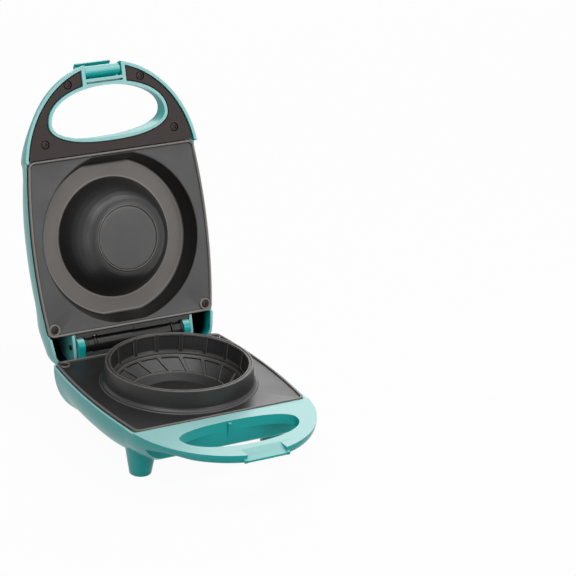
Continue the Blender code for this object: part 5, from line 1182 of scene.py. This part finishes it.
def make_base_housing():
    """Base shell with its handle, feet, plate bed, hinge block and latch notch."""
    body = hull("base_shell", housing_half(BASE_REAR, -INSIDE), -1, BASE_DEPTH, 0.0, -HANDLE_TOP, HANDLE_TOP)
    channel = handle_channel("channel", HANDLE_WALL, HOLE_REAR, -BASE_DEPTH - OVER, HANDLE_TOP - HANDLE_WALL)
    cut(channel, prism_z("hole_wall", hole_outline(HANDLE_WALL), -HANDLE_DEPTH + HANDLE_TOP, 0.0))
    cut(body, channel)
    wide, narrow = FOOT_RADII
    sole = PAD_PROUD - FLOOR_DROP
    cone = [(0.0, -FOOT_ROOT), (wide, -FOOT_ROOT), (narrow + 0.3 * MM, 1.2 * MM - FLOOR_DROP),
            (narrow - 0.4 * MM, sole), (0.0, sole)]
    for x, y in FOOT_PLACES:
        join(body, turned("foot", cone, 56, (x, y, 0.0)))
    cut(body, hollow_tool(-1, BASE_DEPTH, PLATE_THICKNESS + BEAD_HEIGHT))
    cut(body, prism_z("hole", hole_outline(0.0), -BASE_DEPTH, OVER))
    cut(body, block("rim_step", (-PLATE_MID_WIDTH, PLATE_FRONT - PLATE_CLEARANCE, BASE_RIM),
                    (PLATE_MID_WIDTH, LID_REAR, OVER)))
    join(body, hinge_block())
    foot, top = -crown_depth(HOLE_REAR, BASE_DEPTH) * 0.8, HANDLE_TOP - RIB_WIDTH
    rib = [(HOLE_REAR + RIB_WIDTH, top), (HOLE_REAR - RIB_REACH, top), (HOLE_REAR, foot),
           (HOLE_REAR + RIB_WIDTH, foot)]
    join(body, prism_x("wall_rib", rib, -RIB_WIDTH / 2, RIB_WIDTH / 2))
    add_latch_notch(body)
    shift = body_matrix("base").inverted()
    low, high = (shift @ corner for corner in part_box("bottom_cover"))
    cut(body, block("cover_seat", (low.x - TOUCH, low.y - TOUCH, -BASE_DEPTH - OVER),
                    (high.x + TOUCH, high.y + TOUCH, high.z + TOUCH)))
    radius, x, drop = GLAND_HOLE
    cut(body, cylinder("gland_hole", radius, PLATE_REAR, LID_REAR + HINGE_BLOCK[1],
                       (x, 0.0, -HINGE_BLOCK_DROP - drop), "Y"))
    return body


def latch_surround(name, grow):
    half = POST_OUTER + grow
    return block(name, (-half, HANDLE_FRONT - OVER * 2, -OVER * 3), (half, HOLE_FRONT + OVER, LID_DEPTH))


def lid_half():
    """Right half of the lid's outline, drawn in beside the plate, whose edge covers it."""
    start, end = PLATE_FRONT - LID_SLIM_RUN[0], PLATE_FRONT + LID_SLIM_RUN[1]
    half = housing_half(LID_REAR, -INSIDE)
    return [(max(0.0, x - LID_SLIM * smooth_step(start, end, y)), y) for x, y in half]


def mark_painted_shade(piece):
    """Keep on each face how much painted shade it gets: deep in one of the lid's two arms, or in the slot
    behind its bar.
    """
    layer = piece.data.attributes.new("hollow", "FLOAT", "FACE")
    middle = Vector(((ARM_INNER + PLATE_MID_WIDTH / 2) / 2, (PLATE_REAR + LID_REAR) / 2, HINGE_Z + 3.0 * MM))
    for face, mark in zip(piece.data.polygons, layer.data):
        x, y, z = face.center
        towards = Vector((math.copysign(middle.x, x) - x, middle.y - y, middle.z - z))
        slot = y - BAY_REAR - BAR_WIDTH
        if abs(x) < BAY_HALF + TOUCH and -TOUCH < slot < SLOT[0] + TOUCH and face.normal.z > -0.5:
            mark.value = 1.0
        if abs(x) > ARM_INNER and PLATE_REAR < y < LID_REAR and towards.dot(face.normal) > 0.0:
            deep = smooth_step(ARM_LIFT[1], LID_DEPTH / 3, z) if x > 0.0 else 0.0
            mark.value = deep if face.normal.x < -0.5 else 1.0
    return piece


def mark_painted_sheen(piece, directions, share, side_share=0.0):
    """Keep at each corner how much painted sheen pales it: most where it looks those ways."""
    mesh = piece.data
    mesh.shade_smooth()
    mesh.set_sharp_from_angle(angle=SHEEN_BEND)
    values = []
    for corner, normal in zip(mesh.loops, mesh.corner_normals):
        across = normal.vector.x
        outward = math.copysign(across, across * mesh.vertices[corner.vertex_index].co.x)
        facing = max(normal.vector.dot(Vector(direction)) for direction in directions)
        on_top, on_side = smooth_step(*SHEEN_FACING, facing), smooth_step(*SHEEN_SIDE, outward)
        values.append(max(share * on_top, side_share * on_side))
    mesh.attributes.new("haze", "FLOAT", "CORNER").data.foreach_set("value", values)
    mesh.attributes.remove(mesh.attributes["sharp_edge"])
    return piece


def make_lid_housing():
    """Lid shell with its handle, plate bed, two hollow arms, latch bay and lamp holes."""
    reach, under, over = PLATE_MID_WIDTH, -OVER * 2, LID_DEPTH + OVER
    front, rear = HANDLE_FRONT - OVER, LID_REAR + OVER
    body = hull("lid_shell", lid_half(), 1, LID_DEPTH, 0.0, -HANDLE_TOP, LID_RIM)
    cut(body, hollow_tool(1, LID_DEPTH, UPPER_BACK, LID_SLIM))
    # A little wider than the hollow, as faces in one plane spoil the cut
    room = PLATE_CLEARANCE + TOUCH / 6
    seat = full(barrel_half(PLATE_FRONT - room, PLATE_REAR + room, room, PLATE_CORNER + room))
    cut(body, prism_z("plate_seat", seat, under, UPPER_BACK + TOUCH))
    half = barrel_half(PLATE_REAR / 3, LID_REAR - ARM_WALL, PLATE_CLEARANCE * 0.6 - LID_SLIM, HULL_CORNER)
    space = hull("arm_space", half, 1, LID_DEPTH, WALL * 1.15, UPPER_BACK * 0.9, under * 2)
    inner = ARM_INNER + ARM_WALL
    cut(space, block("between", (-inner, PLATE_FRONT, -LID_DEPTH), (inner, LID_REAR, over)))
    cut(space, block("ahead", (-reach, PLATE_FRONT, -LID_DEPTH), (reach, PLATE_REAR / 2, over)))
    cut(body, space)
    cut(body, block("hinge_slot", (-ARM_INNER, LID_BACK, under), (ARM_INNER, rear, over)))
    slope = [(PLATE_REAR, under), (PLATE_REAR, ARM_LIFT[0]), (HINGE_Y + ARM_LIFT_RUN, ARM_LIFT[0]),
             (rear, ARM_LIFT[1]), (rear, under)]
    cut(body, prism_x("arm_lift", slope, -reach, reach))
    cut(body, block("cover_seam", (-ARM_INNER, PLATE_REAR, under), (ARM_INNER, LID_BACK + OVER, COVER_SEAM)))
    cut(body, block("edge_step", (-reach, front, under), (reach, PLATE_FRONT, LID_HANDLE_EDGE)))
    for sign in (-1, 1):
        near, far = sorted((sign * PLATE_END_WIDTH * SIDE_STEP_SHARE, sign * reach))
        cut(body, block("side_step", (near, PLATE_FRONT + SIDE_STEP_ENDS[0], under),
                        (far, PLATE_REAR + SIDE_STEP_ENDS[1], LID_SIDE_RIM)))
    seat = handle_channel("cover_seat", HANDLE_EDGE, PLATE_FRONT - PLATE_CLEARANCE + OVER, under,
                          COVER_BACK + TOUCH)
    cut(seat, prism_z("ring", hole_outline(HANDLE_EDGE), -OVER * 3, LID_DEPTH))
    cut(seat, latch_surround("surround", 0.0))
    cut(body, seat)
    cut(body, prism_z("hole", hole_outline(0.0), under, over))
    bar_rear, bar_top = BAY_REAR + BAR_WIDTH, SLOT[1] + LID_HANDLE_EDGE
    cut(body, block("bay", (-BAY_HALF, front, under), (BAY_HALF, BAY_REAR, LID_DEPTH)))
    cut(body, block("bay_top", (-BAY_HALF, front, bar_top), (BAY_HALF, HOLE_FRONT + OVER, LID_DEPTH)))
    cut(body, block("slot", (-BAY_HALF, bar_rear, under),
                    (BAY_HALF, bar_rear + SLOT[0], bar_top - HANDLE_WALL)))
    x, y, radius = LAMP_HOLE
    roof = crown_depth(y, LID_DEPTH)
    for place in (-x, x):
        cut(body, cylinder("lamp_hole", radius, roof - WALL * 2, roof + OVER, (place, y, 0.0)))
    return body


def make_handle_cover():
    """Black C-shaped cover over the lid handle: a flange below its edge, and wells for its screws."""
    parts = []
    for fit, start in ((COVER_FIT, COVER_LOW), (TOUCH / 4, COVER_LOW + COVER_FLANGE)):
        grow, shift = HANDLE_EDGE + fit, fit / 8
        rear = PLATE_FRONT - PLATE_CLEARANCE * 2 + shift
        part = handle_channel("grip_cover", grow, rear, start, COVER_BACK - shift)
        cut(part, prism_z("ring", hole_outline(grow), -OVER, LID_DEPTH))
        parts.append(cut(part, latch_surround("surround", fit)))
    cover = join(*parts)
    for x, y in COVER_SCREWS:
        cut(cover, cylinder("well", SCREW_HEAD + TOUCH * 2, COVER_LOW - OVER, COVER_BACK - COVER_WELL,
                            (x, y, 0.0), steps=32))
    return cover


def make_latch():
    """Barrel, arm and hook in one moulded section."""
    inner = NOTCH_FRONT - LATCH_PLAY
    outer = inner - LATCH_ARM
    hook_top = LIP_UNDERSIDE - HOOK_PLAY
    hook_low = hook_top - HOOK_DEPTH
    start = math.degrees(math.asin(LATCH_ROOT / BARREL_RADIUS))
    end = 180 - start - (270 - start) * BARREL_TURN_SHARE
    profile = arc(LATCH_Y, LATCH_Z, BARREL_RADIUS, 180 - start, end, 40)
    profile += [(inner, LATCH_Z - BARREL_RADIUS * BARREL_LOW_SHARE), (inner, hook_top),
                (inner + HOOK_REACH, hook_top), (inner + HOOK_REACH - HOOK_SLOPE, hook_low),
                (outer, hook_low), (outer, LATCH_Z + LATCH_ROOT)]
    return prism_x("latch", profile, -LATCH_WIDTH / 2, LATCH_WIDTH / 2)


# ---------------------------------------------------------------- hinge and screws

def make_knuckle(name, sign):
    """Ribbed black ring on the hinge pin, with the claw that grips the lid's back wall."""
    low, high = sorted((sign * KNUCKLE_INNER, sign * KNUCKLE_OUTER))
    r, waist = KNUCKLE_RADIUS, KNUCKLE_RADIUS - KNUCKLE_GROOVE
    near, far = low + KNUCKLE_RING, high - KNUCKLE_RING
    profile = [(0.0, low), (r, low), (r, near), (waist, near), (waist, far), (r, far), (r, high), (0.0, high)]
    made = turned(name, rounded(profile, 0.25 * MM, 2), 48, HINGE_LINE, "X")
    wall, front = LID_BACK + TOUCH, HINGE_Y - r / 2
    rear = wall + CLAW_THICKNESS
    claw = [(wall, HINGE_Z - r / 4), (front, HINGE_Z - r / 4), (front, HINGE_Z + r / 2), (rear, HINGE_Z + r),
            (rear, HINGE_Z + 2 * r), (wall, HINGE_Z + 2 * r)]
    join(made, prism_x("claw", claw, low, high))
    cut(made, cylinder("bore", PIN_BORE, low - OVER, high + OVER, HINGE_LINE, "X", 24))
    return made


def make_wire_cover():
    """Black cover of the lid's back wall: strip on its edge, sheet before the tube and raised bar."""
    wall, front, hair = LID_BACK + TOUCH, PLATE_REAR + TOUCH / 2, 0.02 * MM
    rear, high = wall + WIRE_COVER_SHEET, HINGE_Z + TUBE_RADIUS
    top, low = COVER_SEAM - 0.1 * MM, COVER_SEAM - TOUCH - WIRE_COVER_EDGE
    section = [(front, low), (rear, low), (rear, high), (wall, high), (wall, top), (front, top)]
    cover = prism_x("wire_cover", section, -TUBE_HALF + TOUCH, TUBE_HALF - TOUCH)
    half = ARM_INNER - TOUCH
    # The strip lies a hair inside the sheet, as faces in one plane spoil the join
    join(cover, block("strip", (-half, front + hair, low + hair), (half, LID_BACK, top - hair)))
    length, width, drop = WIRE_BAR
    return join(cover, block("bar", (0.0, rear - width, low - drop),
                             (length, rear + TOUCH / 2, COVER_SEAM - TOUCH)))


def make_shade_sheet():
    """Thin black sheet of painted shade on the hinge block, under the tube, up to the lower plate, where the
    block lies in shade.
    """
    half = EAR_INNER - TOUCH
    front, rear = PLATE_REAR + PLATE_CLEARANCE / 2, BASE_REAR + HINGE_BLOCK[1] - HINGE_BLOCK_DROP - TOUCH
    low, step, bend = -HINGE_BLOCK_DROP, BASE_RIM, BASE_REAR + SHADE_SHEET
    section = [(front, step), (BASE_REAR, step), (BASE_REAR, low), (rear, low), (rear, low + SHADE_SHEET),
               (bend, low + SHADE_SHEET), (bend, step + SHADE_SHEET), (front, step + SHADE_SHEET)]
    return prism_x("hinge_liner", section, -half, half)


def cross_screw(name, length):
    """Pan-head screw with a cross recess, its head's underside at Z = 0."""
    arm, reach, deep = CROSS
    angles = [TAU * i / SCREW_STEPS for i in range(SCREW_STEPS)]
    rings = [[(0.0, 0.0, -length)]]
    for radius, height in ((SCREW_RADIUS, -length + SCREW_RADIUS), (SCREW_RADIUS, 0.0), (SCREW_HEAD, 0.0),
                           (SCREW_HEAD, SCREW_HEIGHT * 0.45), (SCREW_HEAD * 0.97, SCREW_HEIGHT * 0.62)):
        rings.append([(x, y, height) for x, y in circle(radius, angles)])
    for step in range(RECESS_STEPS):
        radius = SCREW_HEAD * 0.92 * (1 - step / RECESS_STEPS)
        dome = SCREW_HEIGHT * (1 - 0.28 * (radius / SCREW_HEAD) ** 2)
        ring = []
        for x, y in circle(radius, angles):
            near, far = sorted((abs(x), abs(y)))
            inside = ((1 - smooth_step(arm, arm + CROSS_SOFT[0], near))
                      * (1 - smooth_step(reach - CROSS_SOFT[1], reach, far)))
            ring.append((x, y, dome - deep * inside))
        rings.append(ring)
    rings.append([(0.0, 0.0, SCREW_HEIGHT - deep)])
    return loft(name, rings)


def place_screws(name, body, finish, slot, places, tilt, length, nodes, tree, keys):
    """One mesh of screws for a body, in place of its CAD screws."""
    screw = cross_screw("screw_pattern", length)
    mesh = bpy.data.meshes.new(name)
    mesh.from_pydata(places, [], [])
    made = linked(name, mesh)
    grown(made, tree, keys, {"piece": screw, "tilt": tilt, "spread": math.pi, "seed": 5, "finish": finish})
    bpy.data.objects.remove(screw, do_unlink=True)
    return finish_piece(made, body, finish, nodes, sharp=45.0)


# ---------------------------------------------------------------- operators

class WAFFLE_OT_plates(bpy.types.Operator):
    """Build the two non-stick baking plates"""
    bl_idname = "waffle.plates"
    bl_label = "Baking plates"

    def execute(self, context):
        settings = context.scene.waffle_plates
        # Rubbed floor colour, then the colour of worn edges, which also carries a painted highlight
        finish = non_stick_coating("ptfe_on_cast_aluminium", ("#201F1F", "#171616"), ("#5A534E", "#8F8983"))
        lower = mark_edges(make_lower_plate(settings, finish), 0.55)
        finish_piece(lower, "base", finish, ["lower_plate"], sharp=38.0)
        upper = mark_pocket(mark_edges(make_upper_plate(settings, finish), 0.8))
        finish_piece(upper, "lid", finish, ["upper_plate"], sharp=38.0)
        return {"FINISHED"}


class WAFFLE_OT_housings(bpy.types.Operator):
    """Build the aqua base and lid housings, the latch and the bottom cover's finish"""
    bl_idname = "waffle.housings"
    bl_label = "Housings"

    def execute(self, context):
        settings = context.scene.waffle_housings
        aqua = moulded_aqua_abs(settings)
        # Painted sheen on faces that look up, and a little on the outward sides
        base = mark_painted_sheen(make_base_housing(), [(0.0, 0.0, 1.0)], 0.85, 0.12)
        finish_piece(base, "base", aqua, ["base_housing"], settings.edge)
        # Painted shade deep in the lid's arms and in the slot behind its bar
        lid = mark_painted_sheen(mark_painted_shade(make_lid_housing()), [(0.0, 0.0, -1.0), (0.0, 0.0, 1.0)], 0.7, 0.3)
        finish_piece(lid, "lid", aqua, ["lid_housing"], settings.edge)
        latch = mark_painted_sheen(make_latch(), [(0.0, 1.0, 0.0)], 0.7)
        finish_piece(latch, "latch", aqua, ["latch_clip"], settings.edge)
        dress_node("bottom_cover", aqua)
        return {"FINISHED"}


class WAFFLE_OT_trim(bpy.types.Operator):
    """Build the black grip cover, the hinge's black pieces, a black sheet of painted shade on the hinge
    block, the pads and the lamps
    """
    bl_idname = "waffle.trim"
    bl_label = "Black trim and small pieces"

    def execute(self, context):
        nylon = moulded_black("matt_black_nylon", "#221814", 0.5, 0.9 * MM, 0.05 * MM)
        smooth = moulded_black("smooth_black_nylon", "#1C1A19", 0.36, 1.5 * MM, 0.02 * MM)
        rubber = moulded_black("silicone_rubber_pad", "#1F1F1F", 0.8, 0.6 * MM, 0.05 * MM)
        finish_piece(make_handle_cover(), "lid", nylon, ["handle_cover"], 0.35 * MM)
        for label, sign in (("left", -1), ("right", 1)):
            finish_piece(make_knuckle("knuckle_" + label, sign), "lid", smooth,
                         ["hinge_knuckle_" + label], sharp=35.0)
        profile = [(0.0, -TUBE_HALF), (TUBE_RADIUS, -TUBE_HALF), (TUBE_RADIUS, TUBE_HALF), (0.0, TUBE_HALF)]
        tube = turned("wire_tube", rounded(profile, 0.5 * MM), 64, HINGE_LINE, "X")
        finish_piece(tube, "base", smooth, ["hinge_tube"])
        finish_piece(make_wire_cover(), "lid", smooth, ["wire_cover"], 0.15 * MM)
        # Black sheet of painted shade where the hinge block lies in shade
        finish_piece(make_shade_sheet(), "base", smooth, edge=0.1 * MM)
        dress_node("cord_gland", nylon)
        for end in ENDS:
            dress_node("foot_pad_" + end, rubber)
        dress_node("lamp_lens_red", tinted_lens("red_polycarbonate", "#C3221B"))
        dress_node("lamp_lens_green", tinted_lens("green_polycarbonate", "#2FA052"))
        return {"FINISHED"}


class WAFFLE_OT_screws(bpy.types.Operator):
    """Place the cross-head screws"""
    bl_idname = "waffle.screws"
    bl_label = "Screws"

    def execute(self, context):
        black = worked_metal("blackened_steel_screw", "#3A3532", 0.42, 0.4 * MM)
        zinc = worked_metal("zinc_plated_steel", "#B9B9B4", 0.34, 0.5 * MM)
        tree = placed_copies_tree()
        for name, body, height, tilt in (
                ("lower_plate_screw", "base", LOWER_FACE - SCREW_SINK + TOUCH, 0.0),
                ("upper_plate_screw", "lid", UPPER_FACE + SCREW_SINK - TOUCH, math.pi)):
            places = [(x, PLATE_SCREW_Y, height) for x in (-PLATE_SCREW_X, PLATE_SCREW_X)]
            place_screws(name + "s", body, black, "black_steel", places, tilt, PLATE_SCREW_LENGTH,
                         [name + "_left", name + "_right"], *tree)
        seat = COVER_BACK - COVER_WELL - TOUCH
        place_screws("cover_screws", "lid", black, "black_steel", [(x, y, seat) for x, y in COVER_SCREWS],
                     math.pi, COVER_SCREW_LENGTH, ["cover_screw_" + end for end in ENDS], *tree)
        under = -BASE_DEPTH + 1.0 * MM - TOUCH
        places = [(x, y, under) for x in (-BOTTOM_SCREW_X, BOTTOM_SCREW_X) for y in BOTTOM_SCREW_Y]
        place_screws("bottom_screws", "base", zinc, "bright_steel", places, math.pi, PLATE_SCREW_LENGTH,
                     ["bottom_screw_" + end for end in ENDS], *tree)
        for node in ("hinge_pin_left", "hinge_pin_right", "latch_pin"):
            dress_node(node, black)
        return {"FINISHED"}


class WAFFLE_OT_inside(bpy.types.Operator):
    """Give the heating parts inside their finishes"""
    bl_idname = "waffle.inside"
    bl_label = "Inside"

    def execute(self, context):
        heater = worked_metal("heater_sheath_steel", "#6E6863", 0.45, 1.5 * MM)
        sheet = worked_metal("rolled_aluminium_sheet", "#C9CACA", 0.32, 0.4 * MM, (1.0, 0.05, 1.0))
        for nodes, finish, slot in ((("lower_heater", "upper_heater"), heater, "heater_steel"),
                                    (("lower_reflector", "upper_reflector"), sheet, "sheet_aluminium"),
                                    (("thermostat", "thermal_fuse", "terminal_block"), steatite_ceramic(),
                                     "cream_ceramic"),
                                    (("lamp_board",), glass_laminate(), "board_laminate")):
            for node in nodes:
                dress_node(node, finish)
        return {"FINISHED"}


class WAFFLE_OT_stage(bpy.types.Operator):
    """Set up the floor, the lamps and the camera"""
    bl_idname = "waffle.stage"
    bl_label = "Stage"

    def execute(self, context):
        settings = context.scene.waffle_stage
        make_floor()
        make_room(context.scene, settings.room)
        for name, (place, size, power) in LAMPS.items():
            make_lamp(name, Vector(place), size, getattr(settings, power))
        make_camera(context.scene)
        context.scene.view_settings.view_transform = "Standard"
        return {"FINISHED"}


def seen_rays(tree):
    """1 for a ray from the camera, a mirror or a clear piece, and 0 for the rays that light."""
    rays = add_node(tree, "ShaderNodeLightPath").outputs
    mirrored = calculate(tree, "MAXIMUM", rays["Is Camera Ray"], rays["Is Glossy Ray"])
    return calculate(tree, "MAXIMUM", mirrored, rays["Is Transmission Ray"])


def make_floor():
    """Wide grey floor, white to the camera but for a trace of the shadow, that throws little light up."""
    floor = block("floor", (-6.0, -6.0, -0.02), (6.0, 6.0, 0.0))
    made, tree, shader, _ = start_material("matt_floor", Base_Color=linear("#A9A9A9"), Roughness=0.9)
    glow = add_node(tree, "ShaderNodeEmission", {"Color": linear("#FFFFFF"), "Strength": 1.03})
    share = calculate(tree, "MULTIPLY", seen_rays(tree), 0.93)
    mix = add_node(tree, "ShaderNodeMixShader", {0: share, 1: shader.outputs[0], 2: glow.outputs[0]})
    tree.links.new(mix.outputs[0], tree.nodes["Material Output"].inputs["Surface"])
    floor.data.materials.append(made)


def make_room(scene, strength):
    """White world, plain white where it is seen or mirrored and dimmer where it lights."""
    scene.world = bpy.data.worlds.new("white_room")
    scene.world.use_nodes = True
    tree = scene.world.node_tree
    background = tree.nodes["Background"]
    background.inputs["Color"].default_value = linear("#FFFFFF")
    feed(tree, background, Strength=between(tree, seen_rays(tree), strength, 1.0))


def make_lamp(name, place, size, power):
    data = bpy.data.lights.new(name, "AREA")
    data.size = size
    data.energy = power
    lamp = linked(name, data)
    lamp.location = place
    lamp.rotation_mode = "QUATERNION"
    lamp.rotation_quaternion = (Vector(LAMP_TARGET) - place).to_track_quat("-Z", "Y")


def make_camera(scene):
    """The photograph's view, measured from the plates' corners, the screws and the hinge."""
    azimuth, elevation, roll = (math.radians(v) for v in CAMERA_DEGREES.values())
    data = bpy.data.cameras.new("photo_camera")
    data.sensor_width = 36.0
    data.lens = CAMERA_LENS
    back = Vector((math.sin(azimuth) * math.cos(elevation), -math.cos(azimuth) * math.cos(elevation),
                   math.sin(elevation)))
    level = Vector((math.cos(azimuth), math.sin(azimuth), 0.0))
    upright = back.cross(level)
    right = level * math.cos(roll) + upright * math.sin(roll)
    up = upright * math.cos(roll) - level * math.sin(roll)
    camera = linked("photo_camera", data)
    camera.matrix_world = Matrix.Translation(CAMERA_PLACE) @ Matrix((right, up, back)).transposed().to_4x4()
    scene.camera = camera


class WAFFLE_PT_panel(bpy.types.Panel):
    """Lists the steps that build the waffle bowl maker"""
    bl_idname = "WAFFLE_PT_panel"
    bl_label = "Waffle Bowl Maker"
    bl_space_type = "VIEW_3D"
    bl_region_type = "UI"
    bl_category = "Waffle"

    def draw(self, context):
        for group in SETTINGS:
            settings = getattr(context.scene, group)
            box = self.layout.box()
            for name in settings.__annotations__:
                box.prop(settings, name)
        for operator in OPERATORS:
            self.layout.operator(operator.bl_idname)


SETTINGS = {"waffle_plates": PlateSettings, "waffle_housings": HousingSettings, "waffle_stage": StageSettings}
OPERATORS = (WAFFLE_OT_plates, WAFFLE_OT_housings, WAFFLE_OT_trim, WAFFLE_OT_screws, WAFFLE_OT_inside,
             WAFFLE_OT_stage)


def register():
    for name, group in SETTINGS.items():
        bpy.utils.register_class(group)
        setattr(bpy.types.Scene, name, PointerProperty(type=group))
    for kind in (*OPERATORS, WAFFLE_PT_panel):
        bpy.utils.register_class(kind)


def unregister():
    for kind in reversed((*OPERATORS, WAFFLE_PT_panel)):
        bpy.utils.unregister_class(kind)
    for name, group in SETTINGS.items():
        delattr(bpy.types.Scene, name)
        bpy.utils.unregister_class(group)


def main():
    register()
    bpy.ops.waffle.plates()
    bpy.ops.waffle.housings()
    bpy.ops.waffle.trim()
    bpy.ops.waffle.screws()
    bpy.ops.waffle.inside()
    bpy.ops.waffle.stage()


if __name__ == "__main__":
    main()
